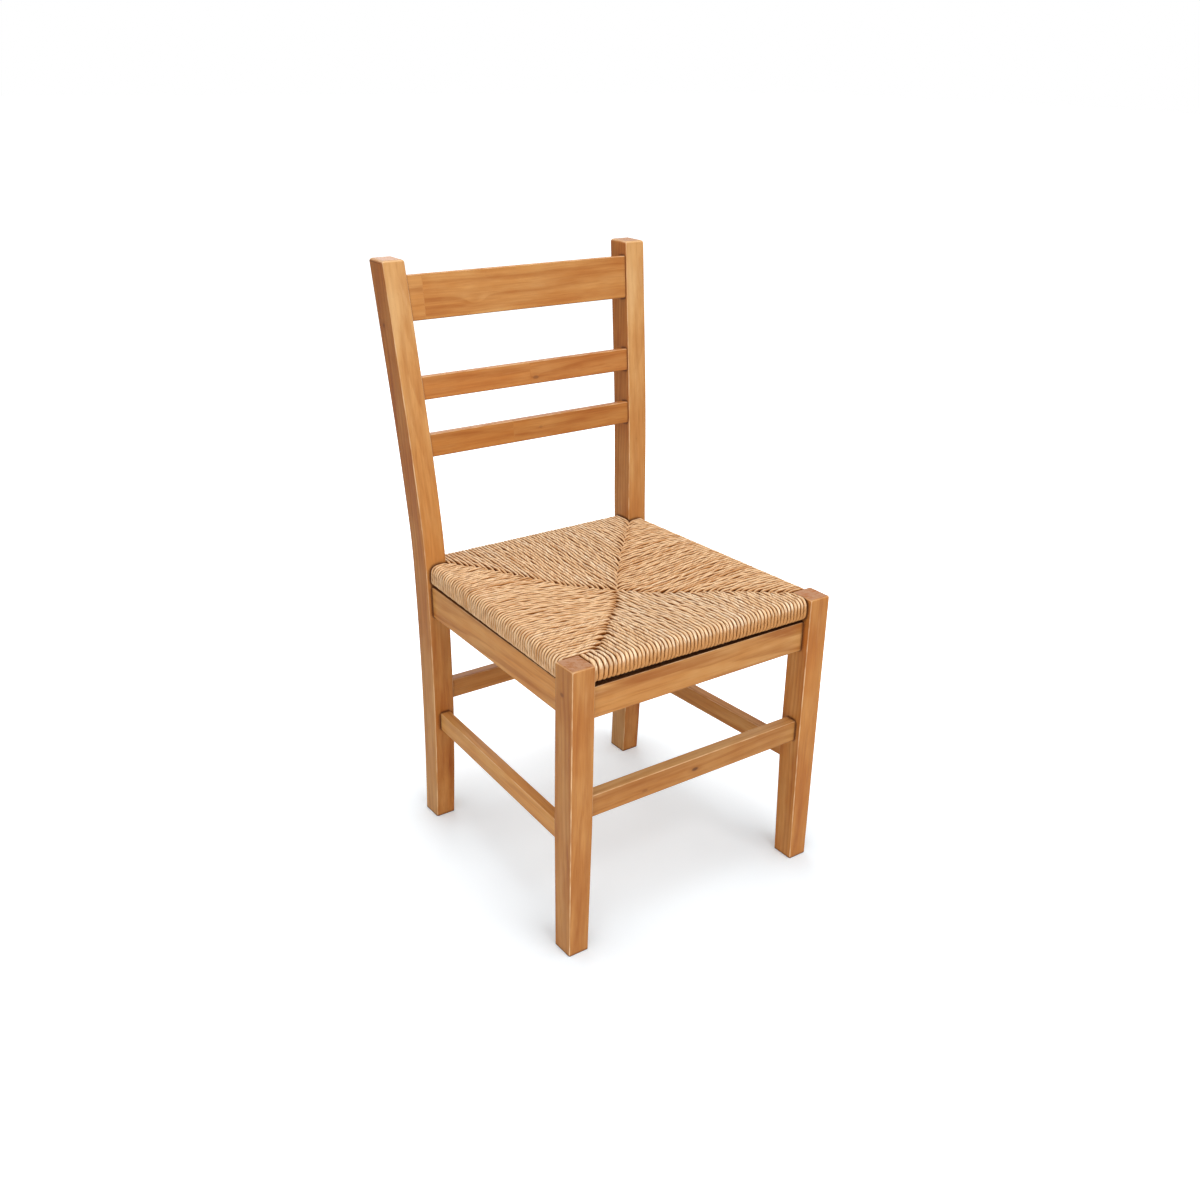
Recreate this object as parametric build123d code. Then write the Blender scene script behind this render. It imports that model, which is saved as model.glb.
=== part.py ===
from build123d import *
import math
import os

# A wooden dining chair with a drop-in seat wound with rush cord.
# Millimetres, +Z up. The front of the chair faces -Y and the sitter's right is at -X.
# The origin lies on the floor under the middle of the chair's box.

# Overall sizes
overall_height = 900.0
seat_height = 450.0
front_width = 459.0
rear_width = 424.0

# Front legs
leg_width = 37.0
leg_depth = 41.0
leg_taper_height = 204.0
leg_taper_side = 4.0
leg_taper_back = 4.2

# Back posts, sawn to a curve in the side view and to a flare in the front view
post_width = 36.0
post_depth = 43.0
post_foot_depth = 38.0
post_setback = 413.5
post_waist_height = 205.0
post_bend_radius = 3430.0
post_bend_top = 704.0
post_flare_height = 475.0
post_flare_radius = 1800.0
post_top_flare = 21.0
post_foot_gather = 2.8
post_taper_height = 204.0
post_taper = 3.0
taper_radius = 900.0

# Boards of the back, from the top down, each placed by its drop from the posts' tops
back_board_thickness = 17.0
back_board_inset = 3.1
top_rail_drop = 23.0
top_rail_height = 65.0
upper_slat_drop = 167.5
upper_slat_height = 34.5
lower_slat_drop = 252.5
lower_slat_height = 34.5

# Aprons under the seat
apron_thickness = 20.0
side_apron_height = 49.5
end_apron_height = 47.2
front_apron_inset = 12.2
rear_apron_setback = 12.0
side_apron_front_inset = 12.1
side_apron_rear_inset = 7.0

# Stretchers near the floor
front_stretcher_bottom = 213.0
front_stretcher_height = 34.0
front_stretcher_thickness = 20.0
front_stretcher_inset = 9.5
rear_stretcher_bottom = 212.0
rear_stretcher_height = 32.0
rear_stretcher_thickness = 18.0
rear_stretcher_setback = 8.2
side_stretcher_bottom = 166.0
side_stretcher_height = 30.0
side_stretcher_thickness = 17.5
side_stretcher_inset = 10.0

# Mortise and tenon joints
tenon_shoulder = 5.0
tenon_length = 16.0
tenon_gap = 2.5
mortise_clearance = 0.2
mortise_end_clearance = 1.0

# Eased edges
rail_round = 2.2
post_round = 2.6
post_crown_round = 4.5
leg_crown_round = 3.0
foot_round = 1.2

# Corner blocks and their screws
block_height = 30.0
block_drop = 8.0
block_thickness = 30.0
block_leg_clearance = 2.0
screw_diameter = 4.0
screw_head_diameter = 8.0
screw_head_height = 3.0
screw_grip = 9.0
screw_bite = 13.0
screw_clearance = 0.15

# Seat: a wooden frame wound with cord
cord_diameter = 6.3
groove_depth = 1.7
seat_rail_thickness = 23.4
seat_rail_width = 52.0
seat_knee_radius = 12.0
seat_front_inset = 6.0
seat_side_inset = 5.0
seat_rear_inset = 3.0
seat_centre_setback = 210.0
seat_dish = 11.0
seat_dish_start = 10.0
seat_proud = 0.8
seat_rest_clearance = 0.3
seat_side_clearance = 0.6
stuffing_clearance = 0.3
seam_groove = 3.0

# Ridges of the wound cord, each the width of two or three turns
front_ridges = 24
rear_ridges = 24
side_ridges = 24
side_spare_ridges = 1

# Dowels of the seat frame
dowel_diameter = 8.0
dowel_length = 36.0
dowel_spacing = 22.0
dowel_clearance = 0.15

LEFT = 1
RIGHT = -1
FAR = 2.0 * overall_height


def post_front_from_chair_front(z):
    """Distance from the chair's front to a post's front face: an arc about the waist, then straight."""
    bend_rise = min(z, post_bend_top) - post_waist_height
    run = math.sqrt(post_bend_radius ** 2 - bend_rise ** 2)
    straight_rise = max(z - post_bend_top, 0.0)
    return post_setback + post_bend_radius - run + straight_rise * bend_rise / run


overall_depth = post_front_from_chair_front(overall_height) + post_depth
chair_front = -overall_depth / 2


def post_front(z):
    """Y of a post's front face at a height."""
    return chair_front + post_front_from_chair_front(z)


def post_lean(z):
    """Angle, in degrees, by which a post leans back at a height."""
    return math.degrees(math.asin((min(z, post_bend_top) - post_waist_height) / post_bend_radius))


def post_outer(z):
    """Distance from the middle plane to a post's outer face: gathered to the foot and flared to the top."""
    seat_level = rear_width / 2
    if z < post_flare_height:
        return seat_level - post_foot_gather * (post_flare_height - z) / post_flare_height
    return seat_level + post_top_flare * (z - post_flare_height) / (overall_height - post_flare_height)


# Places that several pieces share
leg_outer = front_width / 2
leg_inner = leg_outer - leg_width
leg_rear = chair_front + leg_depth

rush_top = seat_height + seat_proud
seat_rail_top = rush_top - cord_diameter
seat_rail_bottom = seat_rail_top - seat_rail_thickness
rush_bottom = seat_rail_bottom - cord_diameter

apron_bottom = rush_bottom - seat_rest_clearance - side_apron_height
end_apron_top = apron_bottom + end_apron_height
front_apron_rear = chair_front + front_apron_inset + apron_thickness
rear_apron_front = post_front(apron_bottom + end_apron_height / 2) + rear_apron_setback

seat_front = chair_front + seat_front_inset
seat_notch_front_x = leg_inner - seat_side_clearance
seat_notch_front_y = leg_rear + seat_side_clearance
seat_notch_rear_x = post_outer(rush_bottom) - post_width - seat_side_clearance
seat_notch_rear_y = post_front(rush_bottom) - seat_side_clearance
seat_rear = post_front(rush_bottom) + post_depth - seat_rear_inset
seat_side_front_x = leg_outer - seat_side_inset
seat_side_rear_x = post_outer(rush_bottom) - seat_side_inset
seat_centre_y = chair_front + seat_centre_setback


def sheet(points):
    """A flat face in the XY plane inside an outline of straight edges."""
    return make_face(Polyline(*points, close=True))


def prism(points, bottom, top):
    """A plan outline raised from one height to another."""
    return Pos(0, 0, bottom) * extrude(sheet(points), amount=top - bottom)


def mirrored(points, side):
    """Plan points for the left side, given to either side."""
    return [(side * x, y) for x, y in points]


# Legs and posts, each sawn in two planes

def sawn(front_view, side_view):
    """An upright with one outline in the front view and another in the side view."""
    side_slab = extrude(Plane.YZ * make_face(side_view.edges()), amount=FAR, both=True)
    front_slab = extrude(Plane.XZ * make_face(front_view.edges()), amount=FAR, both=True)
    return side_slab & front_slab


def leg_view(outer, inner, foot_inner):
    """An outline of a front leg: straight outside, tapered to the foot inside."""
    inner_line = FilletPolyline(
        (inner, seat_height), (inner, leg_taper_height), (foot_inner, 0), radius=taper_radius
    )
    return inner_line + Polyline((foot_inner, 0), (outer, 0), (outer, seat_height), (inner, seat_height))


def leg_blank(side):
    """A sharp-edged front leg, whose two inner faces taper to the foot."""
    front_view = leg_view(side * leg_outer, side * leg_inner, side * (leg_inner + leg_taper_side))
    side_view = leg_view(chair_front, leg_rear, leg_rear - leg_taper_back)
    return sawn(front_view, side_view)


def post_blank(side):
    """A sharp-edged back post: curved and raked in the side view, flared in the front view."""
    middle_height = post_bend_top / 2
    front_foot = (post_front(0), 0)
    front_middle = (post_front(middle_height), middle_height)
    front_bend = (post_front(post_bend_top), post_bend_top)
    front_top = (post_front(overall_height), overall_height)
    rear_top = (front_top[0] + post_depth, overall_height)
    rear_bend = (front_bend[0] + post_depth, post_bend_top)
    rear_foot = (post_front(0) + post_foot_depth, 0)
    lean = math.radians(post_lean(post_bend_top))
    side_view = Line(rear_foot, front_foot)
    side_view += ThreePointArc(front_foot, front_middle, front_bend)
    side_view += Polyline(front_bend, front_top, rear_top, rear_bend)
    side_view += TangentArc(rear_bend, rear_foot, tangent=(-math.sin(lean), -math.cos(lean)))
    outer = [(side * post_outer(z), z) for z in (0, post_flare_height, overall_height)]
    inner_heights = (overall_height, post_flare_height, post_taper_height)
    inner = [(side * (post_outer(z) - post_width), z) for z in inner_heights]
    inner_foot = (side * (post_outer(0) - post_width + post_taper), 0)
    front_view = FilletPolyline(*outer, radius=post_flare_radius)
    front_view += Line(outer[-1], inner[0])
    front_view += FilletPolyline(*inner, inner_foot, radius=[post_flare_radius, taper_radius])
    front_view += Line(inner_foot, outer[0])
    return sawn(front_view, side_view)


def eased(blank, crown_round, long_round):
    """A blank with its long edges, its crown and its foot rounded."""
    body = fillet(blank.faces().sort_by(Axis.Z)[-1].edges(), crown_round)
    rising = [e for e in body.edges() if abs((e @ 1).Z - (e @ 0).Z) > crown_round / 2]
    body = fillet(rising, long_round)
    return fillet(body.faces().sort_by(Axis.Z)[0].edges(), foot_round)


# Rails with a tenon at each end

class Rail:
    """A straight rail between two uprights, along the local X axis of its place."""

    def __init__(self, place, length, thickness, height, first_tenon, second_tenon):
        self.place = place
        self.length = length
        self.thickness = thickness
        self.height = height
        self.first_tenon = first_tenon
        self.second_tenon = second_tenon

    def along(self, thickness, height, first_reach, second_reach):
        """A bar of a given section that reaches past the shoulders by the two reaches."""
        shift = (second_reach - first_reach) / 2
        return Pos(shift, 0, 0) * Box(self.length + first_reach + second_reach, thickness, height)

    def tenon(self, clearance, end_clearance):
        """The tenon bar, or with clearances the mortise that takes it."""
        bar = self.along(
            self.thickness - 2 * tenon_shoulder + 2 * clearance,
            self.height - 2 * tenon_shoulder + 2 * clearance,
            self.first_tenon + end_clearance,
            self.second_tenon + end_clearance,
        )
        return self.place * bar

    def mortise(self):
        """The hole that the tenon bar needs in an upright."""
        return self.tenon(mortise_clearance, mortise_end_clearance)

    def solid(self, first_blank, second_blank):
        """The rail with its shoulders cut to the uprights' faces and its tenons left standing."""
        bar = self.along(self.thickness, self.height, self.first_tenon, self.second_tenon)
        bar = self.place * fillet(bar.edges().filter_by(Axis.X), rail_round)
        return bar - first_blank - second_blank + self.tenon(0.0, 0.0)


def cross_rail(front_y, bottom, thickness, height, inner_distance, lean):
    """A rail from the right upright to the left one, leaning back by an angle."""
    lean_run = thickness / 2 / math.cos(math.radians(lean))
    place = Pos(0, front_y + lean_run, bottom + height / 2) * Rot(-lean, 0, 0)
    upright_height = height / math.cos(math.radians(lean))
    return Rail(place, 2 * inner_distance, thickness, upright_height, tenon_length, tenon_length)


def back_board(drop, height):
    """A board of the back, set in from the posts' front faces and leaning with them."""
    bottom = overall_height - drop - height
    middle = bottom + height / 2
    inner_distance = post_outer(middle) - post_width
    front_y = post_front(middle) + back_board_inset
    return cross_rail(front_y, bottom, back_board_thickness, height, inner_distance, post_lean(middle))


def side_rail(side, front_outer, rear_outer, bottom, thickness, height, front_tenon, rear_tenon):
    """A rail from a front leg back to a post, given by the outer edges of its two ends."""
    middle = bottom + height / 2
    start = Vector(side * front_outer, leg_rear, middle)
    end = Vector(side * rear_outer, post_front(middle), middle)
    direction = (end - start).normalized()
    outwards = Vector(side * direction.Y, -side * direction.X, 0)
    centre = (start + end) * 0.5 - outwards * (thickness / 2)
    place = Plane(origin=centre, x_dir=direction, z_dir=(0, 0, 1)).location
    return Rail(place, (end - start).length, thickness, height, front_tenon, rear_tenon)


front_side_tenon = leg_depth - front_apron_inset - apron_thickness + tenon_shoulder - tenon_gap
rear_side_tenon = rear_apron_setback + tenon_shoulder - tenon_gap


def side_apron(side):
    """The rail under one side of the seat, with tenons short enough to miss the end aprons' tenons."""
    return side_rail(
        side,
        leg_outer - side_apron_front_inset,
        post_outer(apron_bottom) - side_apron_rear_inset,
        apron_bottom,
        apron_thickness,
        side_apron_height,
        front_side_tenon,
        rear_side_tenon,
    )


def side_stretcher(side):
    """The rail between the feet of one side."""
    return side_rail(
        side,
        leg_outer - side_stretcher_inset,
        post_outer(side_stretcher_bottom) - side_stretcher_inset,
        side_stretcher_bottom,
        side_stretcher_thickness,
        side_stretcher_height,
        tenon_length,
        tenon_length,
    )


back_boards = {
    "top_rail": back_board(top_rail_drop, top_rail_height),
    "upper_back_slat": back_board(upper_slat_drop, upper_slat_height),
    "lower_back_slat": back_board(lower_slat_drop, lower_slat_height),
}
rear_rails = {
    "rear_apron": cross_rail(
        rear_apron_front,
        apron_bottom,
        apron_thickness,
        end_apron_height,
        post_outer(apron_bottom) - post_width,
        0.0,
    ),
    "rear_stretcher": cross_rail(
        post_front(rear_stretcher_bottom) + rear_stretcher_setback,
        rear_stretcher_bottom,
        rear_stretcher_thickness,
        rear_stretcher_height,
        post_outer(rear_stretcher_bottom) - post_width,
        0.0,
    ),
}
front_rails = {
    "front_apron": cross_rail(
        chair_front + front_apron_inset, apron_bottom, apron_thickness, end_apron_height, leg_inner, 0.0
    ),
    "front_stretcher": cross_rail(
        chair_front + front_stretcher_inset,
        front_stretcher_bottom,
        front_stretcher_thickness,
        front_stretcher_height,
        leg_inner,
        0.0,
    ),
}
side_rails = {
    "left_apron": (LEFT, side_apron(LEFT)),
    "right_apron": (RIGHT, side_apron(RIGHT)),
    "left_stretcher": (LEFT, side_stretcher(LEFT)),
    "right_stretcher": (RIGHT, side_stretcher(RIGHT)),
}


# Corner blocks, one across each inner corner of the aprons

class Corner:
    """An inner corner of the aprons, with the block's two screws: one into each apron."""

    def __init__(self, side, x, y, inwards, upright_x, upright_y):
        self.side = side
        self.x = x
        self.y = y
        self.inwards = inwards
        self.near = (x - upright_x) + abs(upright_y - y) + block_leg_clearance
        self.far = self.near + block_thickness
        self.top = end_apron_top - block_drop

    def blank(self):
        """The block at 45 degrees, with ends that run into the aprons by half their thickness."""
        into = apron_thickness / 2
        outline = [
            (self.x - self.near - into, self.y - self.inwards * into),
            (self.x - self.far - into, self.y - self.inwards * into),
            (self.x + into, self.y + self.inwards * (self.far + into)),
            (self.x + into, self.y + self.inwards * (self.near + into)),
        ]
        return prism(mirrored(outline, self.side), self.top - block_height, self.top)

    def screw_places(self):
        """Each screw's axis runs along local -Z, from the apron's face at the origin into the apron."""
        along = (self.near + self.far) / 2
        middle = self.top - block_height / 2
        end_point = (self.side * (self.x - along), self.y, middle)
        side_point = (self.side * self.x, self.y + self.inwards * along, middle)
        return [
            Plane(origin=end_point, z_dir=(0, self.inwards, 0)).location,
            Plane(origin=side_point, z_dir=(-self.side, 0, 0)).location,
        ]


corners = {}
for corner_side, side_name in ((LEFT, "left"), (RIGHT, "right")):
    corners["corner_block_front_" + side_name] = Corner(
        corner_side,
        leg_outer - side_apron_front_inset - apron_thickness,
        front_apron_rear,
        1,
        leg_inner,
        leg_rear,
    )
    corners["corner_block_rear_" + side_name] = Corner(
        corner_side,
        post_outer(apron_bottom) - side_apron_rear_inset - apron_thickness,
        rear_apron_front,
        -1,
        post_outer(apron_bottom) - post_width,
        post_front(apron_bottom),
    )


def column(radius, bottom, top):
    """A round bar along Z between two heights."""
    return Pos(0, 0, (bottom + top) / 2) * Cylinder(radius, top - bottom)


def screw():
    """A screw along Z: the point in the apron, the shank through the block, the head in its pocket."""
    shank = column(screw_diameter / 2, -screw_bite, screw_grip + screw_head_height / 2)
    return shank + column(screw_head_diameter / 2, screw_grip, screw_grip + screw_head_height)


def screw_hole():
    """The hole for a screw, with a pocket for its head that opens at the block's free face."""
    hole = column(screw_diameter / 2 + screw_clearance, -screw_bite - screw_clearance, screw_grip)
    pocket = column(screw_head_diameter / 2 + screw_clearance, screw_grip, screw_grip + block_thickness)
    return hole + pocket


# Seat frame

seat_side_slope = (seat_side_rear_x - seat_side_front_x) / (seat_notch_rear_y - seat_notch_front_y)
seat_side_stretch = math.sqrt(1.0 + seat_side_slope ** 2)
seat_rail_edge_round = seat_knee_radius - cord_diameter + stuffing_clearance


def seat_side_x(y, depth):
    """Distance from the middle plane to a line parallel to the seat's side edge, a depth inside it."""
    return seat_side_front_x + seat_side_slope * (y - seat_notch_front_y) - depth * seat_side_stretch


def seat_board(outline, outer_edges):
    """A rail of the seat frame, its outer edges rounded where the cord turns over them."""
    board = prism(outline, seat_rail_bottom, seat_rail_top)
    level = [e for e in board.edges() if abs((e @ 1).Z - (e @ 0).Z) < cord_diameter]
    return fillet([e for e in level if outer_edges(e @ 0.5)], seat_rail_edge_round)


def seat_side_rail(side):
    """A side rail, notched at its ends round the leg and the post, with a tongue beside each."""
    front_end = seat_front + cord_diameter
    rear_end = seat_rear - cord_diameter
    inner_depth = cord_diameter + seat_rail_width
    outline = [
        (seat_side_x(seat_notch_front_y, cord_diameter), seat_notch_front_y),
        (seat_side_x(seat_notch_rear_y, cord_diameter), seat_notch_rear_y),
        (seat_notch_rear_x, seat_notch_rear_y),
        (seat_notch_rear_x, rear_end),
        (seat_side_x(rear_end, inner_depth), rear_end),
        (seat_side_x(front_end, inner_depth), front_end),
        (seat_notch_front_x, front_end),
        (seat_notch_front_x, seat_notch_front_y),
    ]

    def on_outer_edge(point):
        """True on the long outer side and on the two tongues' ends."""
        beyond_middle = abs(point.X) > seat_side_x(point.Y, cord_diameter + seat_rail_width / 4)
        at_end = point.Y < front_end + rail_round or point.Y > rear_end - rail_round
        return beyond_middle and seat_notch_front_y < point.Y < seat_notch_rear_y or at_end

    return seat_board(mirrored(outline, side), on_outer_edge)


def seat_end_rail(outer_y, inwards):
    """The front or the rear rail of the seat frame, between the side rails."""
    inner_depth = cord_diameter + seat_rail_width
    outer_edge = outer_y + inwards * cord_diameter
    inner_edge = outer_edge + inwards * seat_rail_width
    outline = [
        (seat_side_x(outer_edge, inner_depth), outer_edge),
        (seat_side_x(inner_edge, inner_depth), inner_edge),
        (-seat_side_x(inner_edge, inner_depth), inner_edge),
        (-seat_side_x(outer_edge, inner_depth), outer_edge),
    ]
    return seat_board(outline, lambda point: abs(point.Y - outer_edge) < rail_round)


def dowels(radius_clearance, end_clearance):
    """The dowels of the seat frame, two in each corner joint, or with clearances their holes."""
    inner_depth = cord_diameter + seat_rail_width
    bars = []
    for outer_y, inwards in ((seat_front, 1), (seat_rear, -1)):
        middle_y = outer_y + inwards * (cord_diameter + seat_rail_width / 2)
        for y in (middle_y - dowel_spacing / 2, middle_y + dowel_spacing / 2):
            for side in (LEFT, RIGHT):
                centre = (side * seat_side_x(y, inner_depth), y, (seat_rail_bottom + seat_rail_top) / 2)
                bar = Cylinder(dowel_diameter / 2 + radius_clearance, dowel_length + 2 * end_clearance)
                bars.append(Pos(*centre) * Rot(0, 90, 0) * bar)
    return bars


# Rush, wound over the seat frame in four fields that meet on the seams

class Field:
    """One field of rush: its place on the seat's edge, its plan outline and its ridges."""

    def __init__(self, first, second, outline, ridges):
        self.outline = outline
        self.ridges = ridges
        start = Vector(*first)
        along = (Vector(*second) - start).normalized()
        inwards = Vector(-along.Y, along.X, 0)
        self.length = (Vector(*second) - start).length
        self.reach = (Vector(0, seat_centre_y, 0) - start).dot(inwards)
        self.place = Plane(origin=(start + Vector(*second)) * 0.5, x_dir=along, z_dir=(0, 0, 1)).location

    def cover(self):
        """The depth to which the rail carries the cord, measured from the seat's edge."""
        return cord_diameter + seat_rail_width

    def area(self):
        """The field's plan outline, as tall as the seat and more."""
        return prism(self.outline, rush_bottom - cord_diameter, rush_top + cord_diameter)

    def route(self):
        """The way of a cord's inner side: from the seam over the rail, round its edge and back below."""
        points = [
            (0, self.cover() + seat_dish_start, seat_rail_top),
            (0, cord_diameter, seat_rail_top),
            (0, cord_diameter, seat_rail_bottom),
            (0, self.reach, seat_rail_bottom),
        ]
        middle = (0, self.reach, seat_rail_top - seat_dish)
        return Line(middle, points[0]) + FilletPolyline(*points, radius=seat_knee_radius - cord_diameter)

    def section(self, route):
        """The turns side by side: a band with round ridges."""
        half = self.length / 2
        pitch = self.length / self.ridges
        valley = cord_diameter - groove_depth
        outline = Polyline((-half, valley), (-half, 0), (half, 0), (half, valley))
        for ridge in range(self.ridges):
            left = -half + ridge * pitch
            crest = (left + pitch / 2, cord_diameter)
            outline += ThreePointArc((left, valley), crest, (left + pitch, valley))
        start = Plane(origin=route @ 0, x_dir=(1, 0, 0), z_dir=route % 0)
        return start * make_face(outline.edges())

    def rush(self):
        """The wound cords, cut to the field's outline."""
        route = self.route()
        wound = sweep(self.section(route), path=route)
        return (self.place * wound) & self.area()

    def stuffing(self, boards):
        """The padding between the two layers of cord, inside the frame."""
        low = seat_rail_bottom + stuffing_clearance
        high = seat_rail_top - stuffing_clearance
        middle_high = high - seat_dish
        profile = [(self.cover(), low), (self.reach, low), (self.reach, middle_high), (self.cover(), high)]
        wedge = self.place * extrude(Plane.YZ * sheet(profile), amount=self.length, both=True)
        wedge = wedge & self.area()
        for board in boards:
            wedge -= board
        return wedge


def seam(corner):
    """The groove along a seam, from an inner corner of the seat's outline to its middle."""
    start = Vector(corner[0], corner[1], rush_top)
    end = Vector(0, seat_centre_y, rush_top - seat_dish)
    along = (end - start).normalized()
    across = Vector(0, 0, 1).cross(along).normalized()
    rise = seam_groove + cord_diameter
    plane = Plane(origin=start, x_dir=across, z_dir=along)
    upwards = 1 if plane.y_dir.Z > 0 else -1
    brim = upwards * cord_diameter
    groove = [(0, -upwards * seam_groove), (rise, brim), (-rise, brim)]
    return extrude(plane * sheet(groove), amount=(end - start).length)


front_notch = (seat_notch_front_x, seat_notch_front_y)
rear_notch = (seat_notch_rear_x, seat_notch_rear_y)
seat_middle = (0, seat_centre_y)
seat_spare = cord_diameter


def end_field(notch, outer_y, ridges):
    """The front or the rear field, between the legs or between the posts."""
    outwards = -1 if outer_y < seat_centre_y else 1
    beyond = outer_y + outwards * seat_spare
    outline = [(notch[0], beyond), notch, seat_middle, (-notch[0], notch[1]), (-notch[0], beyond)]
    first = (outwards * notch[0], outer_y)
    second = (-outwards * notch[0], outer_y)
    return Field(first, second, outline, ridges)


def side_field(side):
    """A side field, between a leg and a post, along the slanted side edge."""
    spare = side_spare_ridges * (seat_notch_rear_y - seat_notch_front_y) / side_ridges
    front_y = seat_notch_front_y - spare
    rear_y = seat_notch_rear_y + spare
    front_point = (seat_side_x(front_y, 0.0), front_y)
    rear_point = (seat_side_x(rear_y, 0.0), rear_y)
    outline = [
        (seat_side_front_x + seat_spare, seat_notch_front_y),
        (seat_side_front_x + seat_spare, seat_notch_rear_y),
        rear_notch,
        seat_middle,
        front_notch,
    ]
    ends = mirrored([front_point, rear_point], side)
    first, second = ends if side == LEFT else ends[::-1]
    return Field(first, second, mirrored(outline, side), side_ridges + 2 * side_spare_ridges)


fields = {
    "front": end_field(front_notch, seat_front, front_ridges),
    "rear": end_field(rear_notch, seat_rear, rear_ridges),
    "left": side_field(LEFT),
    "right": side_field(RIGHT),
}


# Assembly

def frame_nodes():
    """The pieces of the frame, by name."""
    nodes = {}
    leg_blanks = {side: leg_blank(side) for side in (LEFT, RIGHT)}
    post_blanks = {side: post_blank(side) for side in (LEFT, RIGHT)}
    for name, rail in front_rails.items():
        nodes[name] = rail.solid(leg_blanks[RIGHT], leg_blanks[LEFT])
    for name, rail in {**rear_rails, **back_boards}.items():
        nodes[name] = rail.solid(post_blanks[RIGHT], post_blanks[LEFT])
    for name, (side, rail) in side_rails.items():
        nodes[name] = rail.solid(leg_blanks[side], post_blanks[side])
    for side, side_name in ((LEFT, "left"), (RIGHT, "right")):
        beside = [rail for rail_side, rail in side_rails.values() if rail_side == side]
        leg = eased(leg_blanks[side], leg_crown_round, post_round)
        post = eased(post_blanks[side], post_crown_round, post_round)
        for rail in [*front_rails.values(), *beside]:
            leg -= rail.mortise()
        for rail in [*rear_rails.values(), *back_boards.values(), *beside]:
            post -= rail.mortise()
        nodes["front_leg_" + side_name] = leg
        nodes["back_post_" + side_name] = post
    screws = []
    aprons = ("front_apron", "rear_apron", "left_apron", "right_apron")
    for name, corner in corners.items():
        block = corner.blank()
        for apron in aprons:
            block -= nodes[apron]
        for place in corner.screw_places():
            hole = place * screw_hole()
            block -= hole
            screws.append(place * screw())
            for apron in aprons:
                nodes[apron] -= hole
        nodes[name] = block
    nodes["corner_block_screws"] = Compound(children=screws)
    return nodes


def seat_nodes():
    """The pieces of the drop-in seat, by name."""
    boards = {
        "front": seat_end_rail(seat_front, 1),
        "rear": seat_end_rail(seat_rear, -1),
        "left": seat_side_rail(LEFT),
        "right": seat_side_rail(RIGHT),
    }
    seams = [seam((side * x, y)) for x, y in (front_notch, rear_notch) for side in (LEFT, RIGHT)]
    nodes = {}
    for name, field in fields.items():
        rush = field.rush()
        for groove in seams:
            rush -= groove
        nodes["rush_" + name] = rush
        nodes["stuffing_" + name] = field.stuffing(boards.values())
    for name, board in boards.items():
        for hole in dowels(dowel_clearance, dowel_clearance):
            board -= hole
        nodes["seat_rail_" + name] = board
    nodes["seat_frame_dowels"] = Compound(children=dowels(0.0, 0.0))
    return nodes


def main():
    """Write one STEP file for each piece."""
    os.makedirs("parts", exist_ok=True)
    for name, solid in {**frame_nodes(), **seat_nodes()}.items():
        export_step(solid, os.path.join("parts", name + ".step"))


if __name__ == "__main__":
    main()
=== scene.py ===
import math
from collections import namedtuple
from dataclasses import dataclass

import bpy
import numpy as np
from bpy.props import FloatProperty, FloatVectorProperty, IntProperty, PointerProperty
from mathutils import Matrix, Vector


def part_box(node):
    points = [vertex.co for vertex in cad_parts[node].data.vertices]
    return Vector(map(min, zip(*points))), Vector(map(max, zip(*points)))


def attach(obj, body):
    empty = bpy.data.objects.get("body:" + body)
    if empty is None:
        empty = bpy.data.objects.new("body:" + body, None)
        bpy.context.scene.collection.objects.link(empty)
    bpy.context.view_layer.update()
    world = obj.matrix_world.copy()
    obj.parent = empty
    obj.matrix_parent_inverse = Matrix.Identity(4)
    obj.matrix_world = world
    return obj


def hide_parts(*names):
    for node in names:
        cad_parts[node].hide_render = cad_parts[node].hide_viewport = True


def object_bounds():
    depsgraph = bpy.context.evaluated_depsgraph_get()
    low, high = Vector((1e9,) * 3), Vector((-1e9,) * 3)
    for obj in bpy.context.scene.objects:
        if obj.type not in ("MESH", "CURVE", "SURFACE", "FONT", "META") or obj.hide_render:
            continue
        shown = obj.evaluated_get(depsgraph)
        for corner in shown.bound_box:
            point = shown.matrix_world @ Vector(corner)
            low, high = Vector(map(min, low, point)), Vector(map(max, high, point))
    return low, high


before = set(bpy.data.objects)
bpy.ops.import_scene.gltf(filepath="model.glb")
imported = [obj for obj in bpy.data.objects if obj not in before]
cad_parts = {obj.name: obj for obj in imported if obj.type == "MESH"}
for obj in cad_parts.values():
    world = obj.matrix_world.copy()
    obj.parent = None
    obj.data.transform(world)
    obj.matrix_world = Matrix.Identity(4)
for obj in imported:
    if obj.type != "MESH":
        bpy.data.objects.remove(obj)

bl_info = {
    "name": "Rush-seated dining chair",
    "version": (1, 0, 0),
    "blender": (4, 5, 0),
    "location": "3D View > Sidebar > Chair",
    "description": "Finishes the wood of a dining chair, winds its rush seat and sets up a pale studio",
    "category": "Object",
}

CAD_BOX = [list(corner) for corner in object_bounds()]
FULL_TURN = 2.0 * math.pi

# Faces of the wooden pieces that show most, as directions in the chair's frame
FORWARDS = Vector((0.0, -1.0, 0.0))
TO_LEFT = Vector((1.0, 0.0, 0.0))
TO_RIGHT = Vector((-1.0, 0.0, 0.0))

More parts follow.
